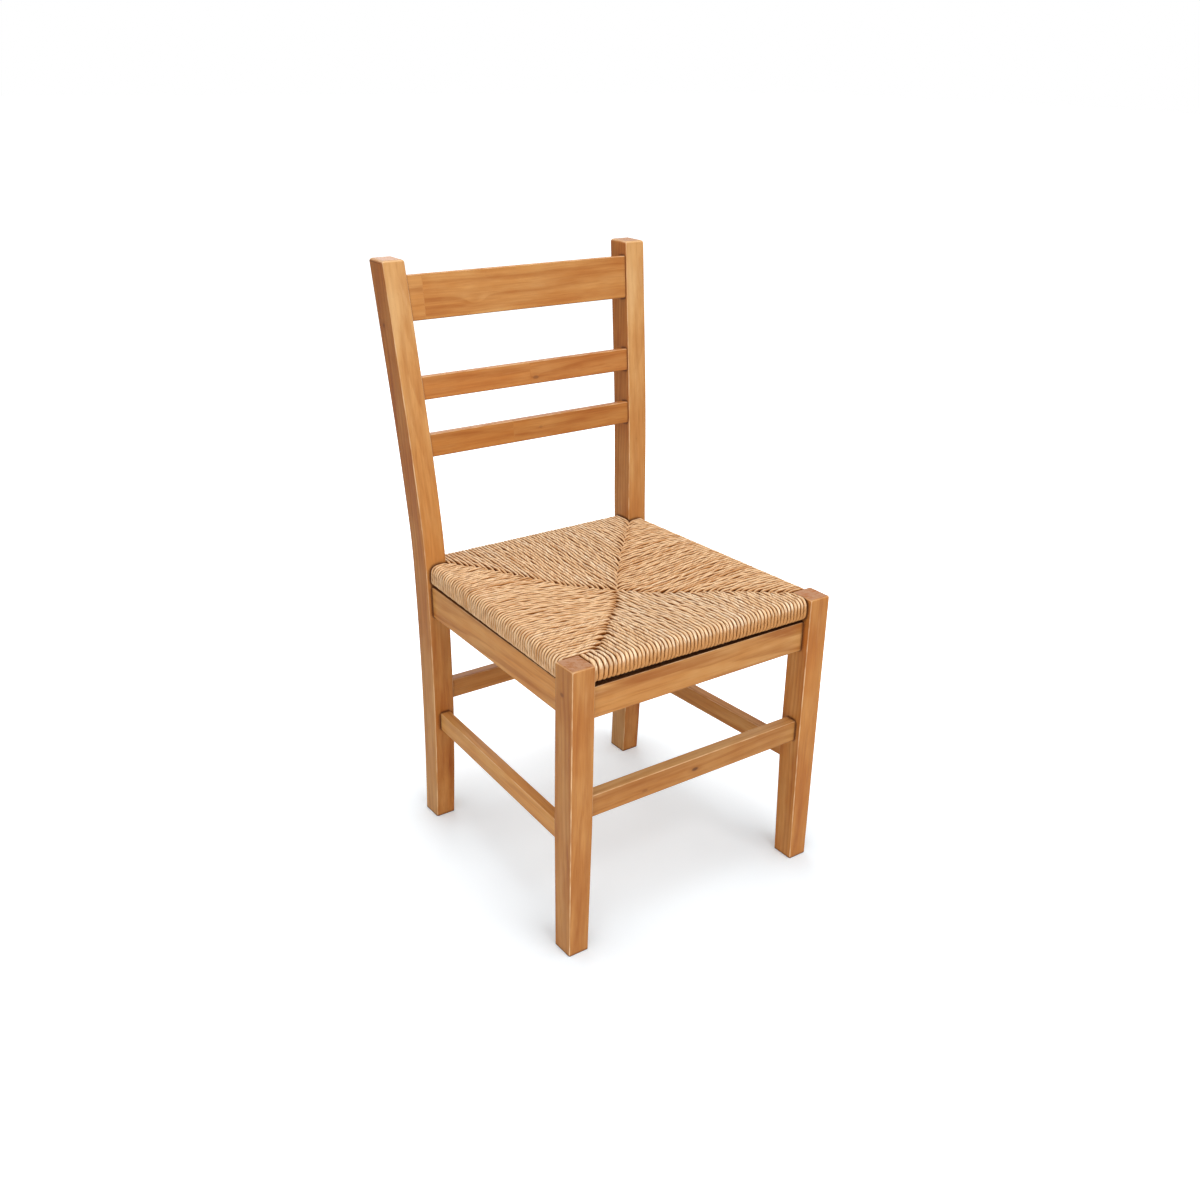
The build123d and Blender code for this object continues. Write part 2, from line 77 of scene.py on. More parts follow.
# Seams of the rush on the plan, each from a corner towards the middle of the seat: metres to the left of the
# chair's middle plane, and metres behind its front
SEAT_MIDDLE = (-0.003, 0.213)
SEAM_FRONT_RIGHT = (
    (-0.1919, 0.0416), (-0.168, 0.0440), (-0.150, 0.0525), (-0.127, 0.073), (-0.089, 0.115), (-0.039, 0.167),
)
SEAM_FRONT_LEFT = ((0.1919, 0.0416), (0.171, 0.058), (0.058, 0.155), (0.023, 0.186))
SEAM_REAR_RIGHT = ((-0.1750, 0.4193), (-0.111, 0.330), (-0.059, 0.267))
SEAM_REAR_LEFT = ((0.1750, 0.4193), (0.094, 0.331), (0.053, 0.284), (0.018, 0.241))

# At the front's right end the first strands lie wider apart, by a share that dies away over a few strands
LOOSE_SHARE = 0.45
LOOSE_STRANDS = 2.5

# The fewest turns over a rail that still cover it
FEWEST_STRANDS = 8

# Scales of the cord's noises, in cells to the metre along a strand and to its radius across it, and of the
# spots on the seat, in cells to the metre
LEAF_SCALE = (16.0, 1.7, 1.7)
HAIR_SCALE = (45.0, 5.5, 5.5)
PATCH_SCALE = (22.0, 0.3, 0.3)
SPOT_SCALE = 42.0

# The padding inside the seat, in metres: half its depth, its distance from the side edges, the cover of cord
# over and under it and the height of its lumps; then the lumps' radians to the metre, the powers that
# flatten and round its dome, and the steps of its grid
PADDING_HALF_DEPTH = 0.163
PADDING_INSET = 0.064
PADDING_COVER = 0.0075
LUMP_HEIGHT = 0.0006
LUMP_WAVES = (300.0, 260.0)
DOME_FLATNESS = 8
DOME_ROUNDNESS = 0.25
PADDING_STEPS = 48

STEEL_DULL = (0.46, 0.46, 0.45)
STEEL_BRIGHT = (0.60, 0.60, 0.58)
WHITE = (1.0, 1.0, 1.0)

# The stage, in metres: half the floor's width, where its shade is deepest and where it ends, how near a foot
# darkens it and how far the camera sees; then the floor's glow in that shade and beyond it, the share of it
# that is left by a foot and in the open, and the camera's sensor in millimetres
FLOOR_HALF = 30.0
SHADE_DEEPEST = 0.22
SHADE_END = 0.85
FOOT_SHADE_REACH = 0.17
VIEW_END = 200.0
FLOOR_GLOW = (0.300, 0.9)
FOOT_SHADE = (0.50, 1.0)
SENSOR_WIDTH = 36.0

# Soft square lights: the setting that holds the power, the width, the place and the point aimed at
Lamp = namedtuple("Lamp", "name power width place aim")
LAMPS = (
    Lamp("key_light", "key", 2.6, (0.3, -3.2, 2.5), (0.0, 0.0, 0.45)),
    Lamp("top_light", "top", 2.2, (-0.3, -0.3, 3.2), (0.0, 0.0, 0.40)),
    Lamp("back_light", "back", 2.0, (0.8, 3.0, 1.9), (0.0, 0.0, 0.5)),
    Lamp("side_light", "side", 0.7, (-1.1, -1.1, 0.30), (-0.1, -0.1, 0.25)),
)


# Settings

def colour(name, description, default):
    """A colour property."""
    return FloatVectorProperty(
        name=name, description=description, subtype="COLOR", size=3, min=0.0, max=1.0, default=default
    )


def position(name, description, default):
    """A place in the chair's frame, in metres."""
    return FloatVectorProperty(
        name=name, description=description, subtype="XYZ", unit="LENGTH", default=default
    )


def length(name, description, default):
    """A length property, in metres."""
    return FloatProperty(
        name=name, description=description, unit="LENGTH", precision=4, min=0.0, default=default
    )


def share(name, description, default):
    """A property from nought to one."""
    return FloatProperty(
        name=name, description=description, subtype="FACTOR", min=0.0, max=1.0, default=default
    )


def rotation(name, description, degrees):
    """An angle property, given in degrees."""
    return FloatProperty(name=name, description=description, unit="ROTATION", default=math.radians(degrees))


def wattage(name, description, default):
    """The power of a light, in watts."""
    return FloatProperty(name=name, description=description, unit="POWER", default=default)


def turns_over(rail, default):
    """The number of turns of cord over a rail."""
    name = rail.capitalize() + " strands"
    description = "Turns over the " + rail + " rail"
    return IntProperty(name=name, description=description, default=default, min=FEWEST_STRANDS)


class WoodSettings(bpy.types.PropertyGroup):
    """Colours and grain of the chair's wood."""

    early_wood: colour("Early wood", "Colour of the pale part of each growth ring", (0.600, 0.268, 0.072))
    late_wood: colour("Late wood", "Colour of the dark part of each growth ring", (0.415, 0.143, 0.028))
    pale_streak: colour("Pale streak", "Colour of the palest streaks in the grain", (0.690, 0.345, 0.120))
    knot_heart: colour("Knot", "Colour of a knot's heart", (0.10, 0.032, 0.010))
    # Also a painted highlight: laid on edges that look up, partly for rubbing and partly for the light they
    # catch
    worn_and_lit_edge: colour("Worn edge", "Colour of the stain where the edges are rubbed", (0.85, 0.57, 0.32))
    end_grain: colour("End grain", "Colour of the ends of the legs and posts", (0.46, 0.240, 0.132))
    # Stain gathered in the joints together with painted shade, where surfaces close in and on undersides
    joint_shade: colour("Joint shade", "Colour of the stain gathered in the joints", (0.13, 0.045, 0.014))
    # Painted shadow: near black laid on the tops of rails in the gap under the seat
    gap_shade: colour("Gap shade", "Colour of the rails where the seat hides them", (0.045, 0.011, 0.002))
    plain_board: colour("Plain wood", "Colour of the unfinished wood inside the seat", (0.60, 0.42, 0.24))
    ring_spacing: length("Ring spacing", "Distance between growth rings", 0.0075)
    # Reach of the stain and painted shade out of a joint
    joint_reach: length("Joint shade reach", "How far the dark stain reaches out of a joint", 0.0060)
    gap_reach: length("Gap reach", "How close the seat lies over a rail that it hides", 0.0140)
    gloss: share("Gloss", "Strength of the satin finish", 0.35)


class RushSettings(bpy.types.PropertyGroup):
    """Sizes and colours of the rush cord."""

    front_strands: turns_over("front", 58)
    rear_strands: turns_over("rear", 58)
    side_strands: turns_over("side", 60)
    cord_height: length("Cord height", "Height of a strand where it lies flat", 0.0064)
    knee_radius: length("Knee radius", "Outer radius of the strands where they turn over an edge", 0.0125)
    dish: length("Dish", "How far the middle of the seat lies below its edges", 0.0110)
    drawn_up: length("Drawn up", "How far the lower bend is drawn up at the front's right end", 0.0026)
    dive: length("Dive", "Length over which a strand turns down at a seam", 0.0100)
    # Reach of the painted shade where other surfaces close in on the cord
    shade_reach: length("Shade reach", "How close another surface lies where the cord is dark", 0.0090)
    lay: length("Lay", "Length of one turn of the twist", 0.0460)
    straw: colour("Straw", "Main colour of the cord", (0.910, 0.600, 0.328))
    # Also laid as a painted highlight on each strand's crest
    cream: colour("Cream", "Colour of the palest cord", (0.985, 0.785, 0.550))
    # Also painted as shade on the strands' flanks
    tan: colour("Tan", "Colour of the darkest cord", (0.590, 0.268, 0.085))
    # Also painted as shade in the ply grooves and in the creases between leaves
    stain: colour("Stain", "Colour of the brown spots", (0.33, 0.125, 0.036))
    # Painted shade on the strands' flanks and where other surfaces close in
    groove_shade: colour("Groove", "Colour of the shaded flanks between two strands", (0.215, 0.062, 0.006))
    # Painted shadow: the colour laid on the lower bends of the cord, in the narrow gap above the rails
    hollow_shadow: colour("Hollow", "Colour of the cord in the narrow gap above the rails", (0.045, 0.016, 0.006))
    seed: IntProperty(name="Seed", description="Start of the random numbers", default=7)


class StageSettings(bpy.types.PropertyGroup):
    """Camera, floor and lights."""

    eye: position("Eye", "Place of the camera", (-1.0553, -1.4499, 1.1804))
    yaw: rotation("Yaw", "Turn of the camera about Z", -36.09)
    pitch: rotation("Pitch", "Downward tilt of the camera", 23.45)
    roll: rotation("Roll", "Roll of the camera", 1.18)
    lens: FloatProperty(name="Lens", description="Focal length in millimetres", default=38.08)
    floor: colour("Floor", "Colour of the floor", (0.80, 0.86, 0.905))
    shade_middle: position("Middle of the shade", "Where the floor is shaded most", (-0.08, -0.20, 0.0))
    ambient: FloatProperty(name="Ambient", description="Strength of the light from all round", default=0.40)
    key: wattage("Key", "Power of the large light in front", 58.0)
    top: wattage("Top", "Power of the light above", 42.0)
    back: wattage("Back", "Power of the light behind", 24.0)
    side: wattage("Side", "Power of the low light at the right", 5.0)


# Nodes

class Nodes:
    """A node tree under construction, node by node."""

    def __init__(self, tree):
        self.tree = tree
        tree.nodes.clear()

    def feed(self, socket, value):
        """Links a socket to another one, or sets its own value."""
        if isinstance(value, bpy.types.NodeSocket):
            self.tree.links.new(value, socket)
        elif isinstance(value, (int, float)):
            socket.default_value = value
        else:
            value = tuple(value)
            missing = len(socket.default_value) - len(value)
            socket.default_value = value + (1.0,) * missing

    def add(self, kind, inputs=None, **settings):
        """Adds a node, with its settings and its inputs by name or number."""
        node = self.tree.nodes.new("ShaderNode" + kind)
        for name, value in settings.items():
            setattr(node, name, value)
        for name, value in (inputs or {}).items():
            self.feed(node.inputs[name], value)
        return node

    def math(self, operation, first, second=0.0, third=0.0):
        """One step of arithmetic."""
        return self.add("Math", {0: first, 1: second, 2: third}, operation=operation).outputs[0]

    def vector(self, operation, first, second=(0.0, 0.0, 0.0), third=(0.0, 0.0, 0.0)):
        """One step of arithmetic with vectors."""
        return self.add("VectorMath", {0: first, 1: second, 2: third}, operation=operation).outputs[0]

    def scaled(self, vector, factor):
        """A vector times a number."""
        return self.add("VectorMath", {0: vector, "Scale": factor}, operation="SCALE").outputs[0]

    def size(self, vector):
        """The length of a vector."""
        return self.add("VectorMath", {0: vector}, operation="LENGTH").outputs["Value"]

    def apart(self, vector):
        """The three parts of a vector."""
        return tuple(self.add("SeparateXYZ", {0: vector}).outputs)

    def point(self):
        """The place on the object."""
        return self.add("TexCoord").outputs["Object"]

    def mapped(
        self, vector, place=(0.0, 0.0, 0.0), turn=(0.0, 0.0, 0.0), scale=(1.0, 1.0, 1.0), kind="POINT",
    ):
        """Coordinates moved, turned and scaled."""
        inputs = {"Vector": vector, "Location": place, "Rotation": turn, "Scale": scale}
        return self.add("Mapping", inputs, vector_type=kind).outputs[0]

    def noise(self, vector, scale, detail=2.0, roughness=0.5, distortion=0.0):
        """Smooth noise from nought to one, with one scale or with one for each axis."""
        if isinstance(scale, tuple):
            vector = self.mapped(vector, scale=scale)
            scale = 1.0
        inputs = {"Vector": vector, "Scale": scale, "Detail": detail}
        inputs.update({"Roughness": roughness, "Distortion": distortion})
        return self.add("TexNoise", inputs).outputs["Fac"]

    def ramp(self, value, low, high, to_low=0.0, to_high=1.0):
        """A value carried from one range to another along a smooth step."""
        inputs = {"Value": value, "From Min": low, "From Max": high, "To Min": to_low, "To Max": to_high}
        return self.add("MapRange", inputs, interpolation_type="SMOOTHSTEP").outputs[0]

    def swing(self, value, noise, size):
        """A value moved up and down by noise, by half a size each way."""
        return self.math("ADD", value, self.math("MULTIPLY_ADD", noise, size, -size / 2))

    def mix(self, factor, first, second):
        """Two colours mixed by a factor."""
        node = self.add("Mix", {"Factor": factor}, data_type="RGBA")
        self.feed(node.inputs[6], first)
        self.feed(node.inputs[7], second)
        return node.outputs[2]

    def lay_over(self, body, paint, value, start, full, most=1.0):
        """A colour laid over another, by nothing at a value's start and by the most where it is full."""
        return self.mix(self.ramp(value, start, full, 0.0, most), body, paint)

    def openness(self, reach, samples=8):
        """One in the open, and less where other surfaces within the reach close in."""
        return self.add("AmbientOcclusion", {"Distance": reach}, samples=samples).outputs["AO"]

    def bump(self, height, distance, strength):
        """A bumped normal."""
        inputs = {"Height": height, "Distance": distance, "Strength": strength}
        return self.add("Bump", inputs).outputs[0]


class Shader(Nodes):
    """A material under construction."""

    def __init__(self, name):
        self.material = bpy.data.materials.new(name)
        self.material.use_nodes = True
        super().__init__(self.material.node_tree)

    def show(self, surface):
        """Makes a shader the material's surface."""
        self.add("OutputMaterial", {"Surface": surface})
        return self.material

    def finish(self, **sockets):
        """The surface itself, with the sockets of its shader by name."""
        inputs = {name.replace("_", " "): value for name, value in sockets.items()}
        return self.show(self.add("BsdfPrincipled", inputs).outputs[0])


# Wood

def node_points(node):
    """The points of a CAD piece, one to a row."""
    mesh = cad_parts[node].data
    points = np.empty(len(mesh.vertices) * 3)
    mesh.vertices.foreach_get("co", points)
    return points.reshape(-1, 3)


# A knot's place, radius and darkness; one that isn't dark lies under the face and only bends the rings
Knot = namedtuple("Knot", "place radius strength")


@dataclass
class Plank:
    """How one wooden piece was cut and stained.

    node: the CAD piece
    face: the way its best face looks
    pith, tilt: place and slant of the tree's middle behind that face, across it and out of it
    stain: how the stain took, in red, green and blue
    knots: the knots that show
    faces, sides: how dark the best face and the side faces are made, at the low and the high end,
        where one is the plain colour and more is darker; partly the stain's depth and partly painted light
        and shade, as on the posts' darker sides and the front stretcher's paler top
    figure: how strongly its grain shows
    splice: where it is spliced from two lengths, in metres along it from its middle
    covered: whether the seat hides its top with a gap between, where a shadow is painted
    """

    node: str
    face: Vector
    pith: tuple
    tilt: tuple
    stain: tuple = (1.0, 1.0, 1.0)
    knots: tuple = ()
    faces: tuple = (1.0, 1.0)
    sides: tuple = (1.0, 1.0)
    figure: float = 1.0
    splice: float = None
    covered: bool = False

    def stained(self, paint):
        """One of the wood's colours under this piece's own stain."""
        return tuple(part * taken for part, taken in zip(paint, self.stain))

    def frame(self):
        """The piece's middle, the turn to its axes (along the grain, across its face and out of it) and half
        its length. The grain follows the direction in which the points spread most."""
        points = node_points(self.node)
        middle = (points.min(axis=0) + points.max(axis=0)) / 2
        axes = np.linalg.eigh(np.cov((points - middle).T))[1]
        along = Vector(axes[:, -1])
        if sum(along) < 0.0:
            along.negate()
        across = self.face.cross(along).normalized()
        outwards = along.cross(across).normalized()
        turn = Matrix((along, across, outwards)).transposed()
        half_length = np.ptp((points - middle) @ np.array(along)) / 2
        return Vector(middle), turn.to_euler(), half_length


PLANKS = (
    Plank(
        "back_post_left", FORWARDS, pith=(0.021, -0.060), tilt=(0.010, -0.012), stain=(1.00, 1.01, 1.07),
        knots=(Knot((0.1963, 0.1802, 0.5855), 0.0024, 0.7),), faces=(1.23, 0.81), sides=(0.85, 1.28),
    ),
    Plank(
        "back_post_right", FORWARDS, pith=(-0.034, -0.048), tilt=(-0.020, 0.014), stain=(1.00, 1.01, 1.07),
        knots=(Knot((-0.2265, 0.2307, 0.8074), 0.0026, 0.7),), faces=(1.23, 0.82), sides=(0.92, 1.34),
    ),
    Plank("front_leg_left", FORWARDS, pith=(0.012, -0.070), tilt=(0.018, 0.010), stain=(0.96, 0.87, 0.74)),
    Plank(
        "front_leg_right", FORWARDS, pith=(-0.030, -0.052), tilt=(0.024, -0.016), stain=(0.88, 0.85, 0.84),
        knots=(Knot((-0.2295, -0.2373, 0.4084), 0.0017, 0.5),), faces=(1.02, 1.02), sides=(1.00, 1.02),
    ),
    Plank(
        "top_rail", FORWARDS, pith=(-0.010, -0.060), tilt=(0.020, 0.030), stain=(0.97, 0.96, 0.95),
        knots=(Knot((-0.0847, 0.2114, 0.8337), 0.0080, 0.0),), splice=-0.171,
    ),
    Plank(
        "upper_back_slat", FORWARDS, pith=(0.040, -0.070), tilt=(-0.030, 0.020), stain=(0.90, 0.79, 0.69),
        knots=(Knot((0.0096, 0.1928, 0.7094), 0.0032, 0.6),), splice=0.000,
    ),
    Plank(
        "lower_back_slat", FORWARDS, pith=(-0.036, -0.080), tilt=(0.022, -0.020), stain=(0.86, 0.76, 0.61),
        knots=(Knot((0.0120, 0.1815, 0.6320), 0.0022, 0.4),), splice=-0.038,
    ),
    Plank(
        "front_apron", FORWARDS, pith=(0.030, -0.055), tilt=(0.040, 0.030), stain=(0.94, 0.96, 1.01),
        figure=2.1, covered=True,
    ),
    Plank("rear_apron", FORWARDS, pith=(-0.020, -0.060), tilt=(0.020, 0.040), covered=True),
    Plank("left_apron", TO_LEFT, pith=(0.030, -0.060), tilt=(0.030, -0.020)),
    Plank(
        "right_apron", TO_RIGHT, pith=(-0.024, -0.066), tilt=(-0.034, 0.024), stain=(1.14, 1.14, 1.10),
        figure=1.4,
    ),
    Plank(
        "front_stretcher", FORWARDS, pith=(-0.044, -0.060), tilt=(0.030, 0.020), stain=(0.80, 0.77, 0.73),
        knots=(Knot((-0.0056, -0.2514, 0.2290), 0.0034, 0.9), Knot((-0.0966, -0.2514, 0.2240), 0.0030, 0.3)),
        sides=(0.72, 0.76), figure=1.2,
    ),
    Plank("rear_stretcher", FORWARDS, pith=(0.024, -0.060), tilt=(0.030, 0.020), stain=(0.95, 0.93, 0.90)),
    Plank("left_stretcher", TO_LEFT, pith=(-0.030, -0.060), tilt=(0.020, 0.030)),
    Plank("right_stretcher", TO_RIGHT, pith=(0.028, -0.056), tilt=(0.020, -0.030), stain=(1.16, 1.22, 1.24)),
)


class HoneyWood(Shader):
    """Stained wood: streaks, rings, fibres and knots along one piece's own grain, paler on edges that look
    up, partly rubbed and partly a painted highlight, with painted shade on the undersides and in the joints,
    where stain gathers too."""

    # Scales of the noises along, across and out of the piece, in cells to the metre
    wander_scale = (3.0, 10.0, 10.0)
    ring_patch_scale = (3.0, 30.0, 30.0)
    streak_scale = (2.6, 85.0, 85.0)
    fibre_scale = (14.0, 300.0, 300.0)
    pore_scale = (22.0, 800.0, 800.0)
    blotch_scale = (9.0, 32.0, 32.0)
    pale_edge_scale = 34.0

    # How far the grain wanders, how it is shifted beyond a splice and half the splice's width, in metres
    wander = (0.0, 0.014, 0.014)
    splice_shift = (0.0, 0.33, 0.21)
    splice_half = 0.0006

    # A knot's stretch along, across and out of the piece, and how far it pushes the rings, in its radii
    knot_stretch = (2.1, 1.0, 3.0)
    knot_push = 1.6

    # Where in a growth ring the late wood begins and is darkest, and its weakest and strongest share
    late_begins = 0.15
    late_darkest = 0.86
    late_weak = 0.05
    late_strong = 0.42

    # The late wood's mean share of the colour, and how far streaks, fibres and a splice change it
    mean_dark = 0.24
    streak_swing = 1.50
    fibre_swing = 1.10
    splice_dark = 0.10

    # Where in their noise the pores begin and are full, and their share of the late wood's colour
    pore_range = (0.60, 0.74)
    pore_share = 0.36

    # How squarely a surface faces along one of the piece's axes, from nought to one, where it begins to
    # count and counts in full as a side, as the top under the seat and as a rounded edge
    side_turn = (0.60, 0.80)
    covered_turn = (0.60, 0.85)
    edge_turn = (0.950, 0.80)

    # The stain's depth in dark and in pale blotches, the most that edges are made pale, partly rubbed and
    # partly
    #     a painted highlight, and the shares of that in the least and the most pale patches
    blotch_depth = (1.15, 0.87)
    pale_edge_most = 0.74
    pale_edge_patches = (0.25, 1.0)

    def __init__(self, plank, wood):
        super().__init__("honey_wood_" + plank.node)
        self.plank = plank
        self.wood = wood
        self.late_colour = plank.stained(wood.late_wood)
        middle, self.turn, self.half_length = plank.frame()
        self.place = self.point()
        self.local = self.mapped(self.place, place=middle, turn=self.turn, kind="TEXTURE")
        self.along = self.apart(self.local)[0]
        normal = self.add("NewGeometry").outputs["Normal"]
        facing = self.mapped(normal, turn=self.turn, kind="TEXTURE")
        self.ends, self.sides, self.faces = self.apart(self.vector("ABSOLUTE", facing))
        self.upwards = self.apart(normal)[2]
        self.bent, self.beyond = self.wandering()
        self.fibre = self.noise(self.bent, self.fibre_scale, 3.0, 0.6)
        self.pores = self.ramp(self.noise(self.bent, self.pore_scale, 1.0), *self.pore_range)

    def wandering(self):
        """The piece's coordinates, pushed to and fro as grain wanders and shifted past its splice, and a
        value that is one beyond the splice."""
        inputs = {"Vector": self.mapped(self.local, scale=self.wander_scale), "Scale": 1.0, "Detail": 1.5}
        push = self.add("TexNoise", inputs).outputs["Color"]
        bent = self.vector("MULTIPLY_ADD", push, self.wander, self.local)
        splice = self.plank.splice
        if splice is None:
            return bent, 0.0
        beyond = self.ramp(self.along, splice - self.splice_half, splice + self.splice_half)
        return self.vector("ADD", bent, self.scaled(self.splice_shift, beyond)), beyond

    def knots(self):
        """Each knot with the distance from its heart in knot radii, stretched along the grain."""
        for knot in self.plank.knots:
            stretch = tuple(knot.radius * part for part in self.knot_stretch)
            near = self.mapped(self.place, place=knot.place, turn=self.turn, scale=stretch, kind="TEXTURE")
            yield knot, self.size(near)

    def rings(self, knots):
        """The dark part of each growth ring, by the distance from a tilted pith, pushed out by knots and
        stronger in some patches than in others."""
        plank = self.plank
        pith = (0.0, -plank.pith[0], -plank.pith[1])
        tilted = self.mapped(self.bent, place=pith, turn=(0.0, plank.tilt[1], plank.tilt[0]))
        from_pith = self.size(self.vector("MULTIPLY", tilted, (0.0, 1.0, 1.0)))
        for knot, distance in knots:
            falling_off = self.math("MULTIPLY_ADD", distance, distance, 1.0)
            push = self.math("DIVIDE", self.knot_push * knot.radius, falling_off)
            from_pith = self.math("ADD", from_pith, push)
        ring = self.math("FRACT", self.math("DIVIDE", from_pith, self.wood.ring_spacing))
        rising = self.ramp(ring, self.late_begins, self.late_darkest)
        falling = self.ramp(ring, self.late_darkest, 1.0, 1.0, 0.0)
        patch = self.noise(self.bent, self.ring_patch_scale, 2.0, 0.6)
        strength = self.ramp(patch, 0.30, 0.70, self.late_weak, self.late_strong * plank.figure)
        return self.math("MULTIPLY", self.math("MULTIPLY", rising, falling), strength)

    def grain(self):
        """The wood's own colours, with how dark they are."""
        plank, wood = self.plank, self.wood
        knots = list(self.knots())
        streak = self.noise(self.bent, self.streak_scale, 3.0, 0.55)
        dark = self.swing(self.mean_dark, streak, self.streak_swing * plank.figure)
        dark = self.math("ADD", dark, self.rings(knots))
        dark = self.swing(dark, self.fibre, self.fibre_swing)
        dark = self.math("MULTIPLY_ADD", self.beyond, self.splice_dark, dark)
        pale = plank.stained(wood.pale_streak)
        body = self.mix(dark, plank.stained(wood.early_wood), self.late_colour)
        body = self.lay_over(body, pale, self.fibre, start=0.56, full=0.84, most=0.45)
        body = self.mix(self.math("MULTIPLY", self.pores, self.pore_share), body, self.late_colour)
        for knot, distance in knots:
            rim, heart = 0.5 * knot.strength, 0.9 * knot.strength
            body = self.lay_over(body, self.late_colour, distance, start=2.6, full=0.9, most=rim)
            body = self.lay_over(body, wood.knot_heart, distance, start=1.1, full=0.45, most=heart)
        return body, dark

    def stain(self, body, dark):
        """The stain, made darker and paler on the faces and sides as the plank says, partly the stain's
        depth and partly painted light and shade, in blotches, and the end grain.
        """
        length_range = (-self.half_length, self.half_length)
        # Painted light and shade with the stain's depth: each face and side is darkened and lightened along
        # the piece
        face_gamma = self.ramp(self.along, *length_range, *self.plank.faces)
        side_gamma = self.ramp(self.along, *length_range, *self.plank.sides)
        depth = self.ramp(self.sides, *self.side_turn, face_gamma, side_gamma)
        blotch = self.noise(self.bent, self.blotch_scale, 3.0, 0.55)
        depth = self.math("MULTIPLY", depth, self.ramp(blotch, 0.25, 0.75, *self.blotch_depth))
        body = self.add("Gamma", {"Color": body, "Gamma": depth}).outputs[0]
        end_rings = self.lay_over(self.wood.end_grain, self.late_colour, dark, start=0.10, full=0.75)
        return self.lay_over(body, end_rings, self.ends, start=0.88, full=0.975, most=0.85)

    def worn_edges_and_painted_light(self, body):
        """Edges made pale in patches, partly rubbed and partly a painted highlight, but for those that look
        down, and painted shade on the undersides.
        """
        square = self.math("MAXIMUM", self.ends, self.math("MAXIMUM", self.sides, self.faces))
        patchy = self.ramp(self.noise(self.local, self.pale_edge_scale), 0.32, 0.68, *self.pale_edge_patches)
        # Pale edges, partly rubbed and partly a painted highlight, left off edges that look down
        rubbed = self.math("MULTIPLY", self.ramp(square, *self.edge_turn, 0.0, self.pale_edge_most), patchy)
        rubbed = self.math("MULTIPLY", rubbed, self.ramp(self.upwards, -0.30, 0.0))
        body = self.mix(rubbed, body, self.wood.worn_and_lit_edge)
        # Painted shade: faces that look down are darkened towards the joint colour
        return self.lay_over(body, self.wood.joint_shade, self.upwards, start=-0.25, full=-0.75, most=0.55)

    def joints(self, body):
        """Dark stain and painted shade in the joints, where other surfaces close in, and a painted shadow on
        top of a piece that the seat covers, in the gap under the seat.
        """
        wood = self.wood
        # Painted shade with the gathered stain: darker where other surfaces close in
        opening = self.openness(wood.joint_reach)
        body = self.lay_over(body, wood.joint_shade, opening, start=0.93, full=0.58, most=0.92)
        # Painted shadow on a covered top, in the gap under the seat
        if self.plank.covered:
            gap = self.ramp(self.openness(wood.gap_reach), 0.80, 0.50, 0.0, 0.97)
            hidden = self.math("MULTIPLY", gap, self.ramp(self.sides, *self.covered_turn))
            body = self.mix(hidden, body, wood.gap_shade)
        return body

    def build(self):
        """The whole material, with a satin coat over fine relief."""
        body = self.joints(self.worn_edges_and_painted_light(self.stain(*self.grain())))
        relief = self.math("SUBTRACT", self.math("MULTIPLY", self.fibre, 0.6), self.pores)
        return self.finish(
            Base_Color=body,
            Roughness=self.ramp(self.fibre, 0.2, 0.8, 0.56, 0.44),
            Specular_IOR_Level=0.20,
            Coat_Weight=0.20 * self.wood.gloss,
            Coat_Roughness=0.28,
            Normal=self.bump(relief, distance=0.00012, strength=0.5),
        )


def plain_wood(name, wood):
    """Unfinished wood: straight pale fibres, a little darker in some places than in others."""
    shader = Shader(name)
    point = shader.point()
    fibre_scale = (120.0, 120.0, 300.0)
    tone_scale = 14.0
    fibre = shader.noise(point, fibre_scale, 3.0, 0.6)
    body = shader.lay_over(wood.plain_board, wood.early_wood, fibre, start=0.3, full=0.8, most=0.45)
    body = shader.scaled(body, shader.ramp(shader.noise(point, tone_scale), 0.25, 0.75, 0.82, 1.08))
    relief = shader.bump(fibre, distance=0.0002, strength=0.5)
    return shader.finish(Base_Color=body, Roughness=0.62, Normal=relief)


def screw_steel(name):
    """Plain steel with faint turning marks."""
    shader = Shader(name)
    marks = shader.noise(shader.point(), 900.0)
    body = shader.mix(marks, STEEL_DULL, STEEL_BRIGHT)
    rough = shader.ramp(marks, 0.3, 0.7, 0.28, 0.45)
    return shader.finish(Base_Color=body, Metallic=1.0, Roughness=rough)


def dress(node, material):
    """Gives a CAD piece its finish."""
    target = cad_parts[node].data
    target.materials.clear()
    target.materials.append(material)


# Rush

def mesh_piece(name, points, faces, material, body, strand_map=None, tone=None):
    """A new piece from arrays of points and four-sided faces, with a map along its strands and a tone on its
    points."""
    if faces_inwards(points, faces):
        faces = faces[:, ::-1]
        strand_map = None if strand_map is None else strand_map[:, ::-1]
    mesh = bpy.data.meshes.new(name)
    mesh.from_pydata(points, [], faces)
    mesh.polygons.foreach_set("use_smooth", np.ones(len(faces), dtype=bool))
    if strand_map is not None:
        layer = mesh.uv_layers.new(name="strand")
        layer.uv.foreach_set("vector", strand_map.astype(np.float32).ravel())
    if tone is not None:
        attribute = mesh.attributes.new("tone", "FLOAT_VECTOR", "POINT")
        attribute.data.foreach_set("vector", tone.astype(np.float32).ravel())
    mesh.materials.append(material)
    mesh.update()
    if mesh.validate():
        raise RuntimeError("the mesh of " + name + " has faulty faces")
    piece = bpy.data.objects.new(name, mesh)
    bpy.context.scene.collection.objects.link(piece)
    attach(piece, body)
    return piece


def faces_inwards(points, faces):
    """True where the faces' signed volume, summed over both triangles of each face, is negative."""
    corners = points[faces]
    first = np.cross(corners[:, 1], corners[:, 2])
    second = np.cross(corners[:, 2], corners[:, 3])
    return (corners[:, 0] * (first + second)).sum() < 0.0


def fade(value, none, full):
    """The smooth step from nought, where the value is at none, to one, where it is at full."""
    part = np.clip((value - none) / (full - none), 0.0, 1.0)
    return part * part * (3.0 - 2.0 * part)


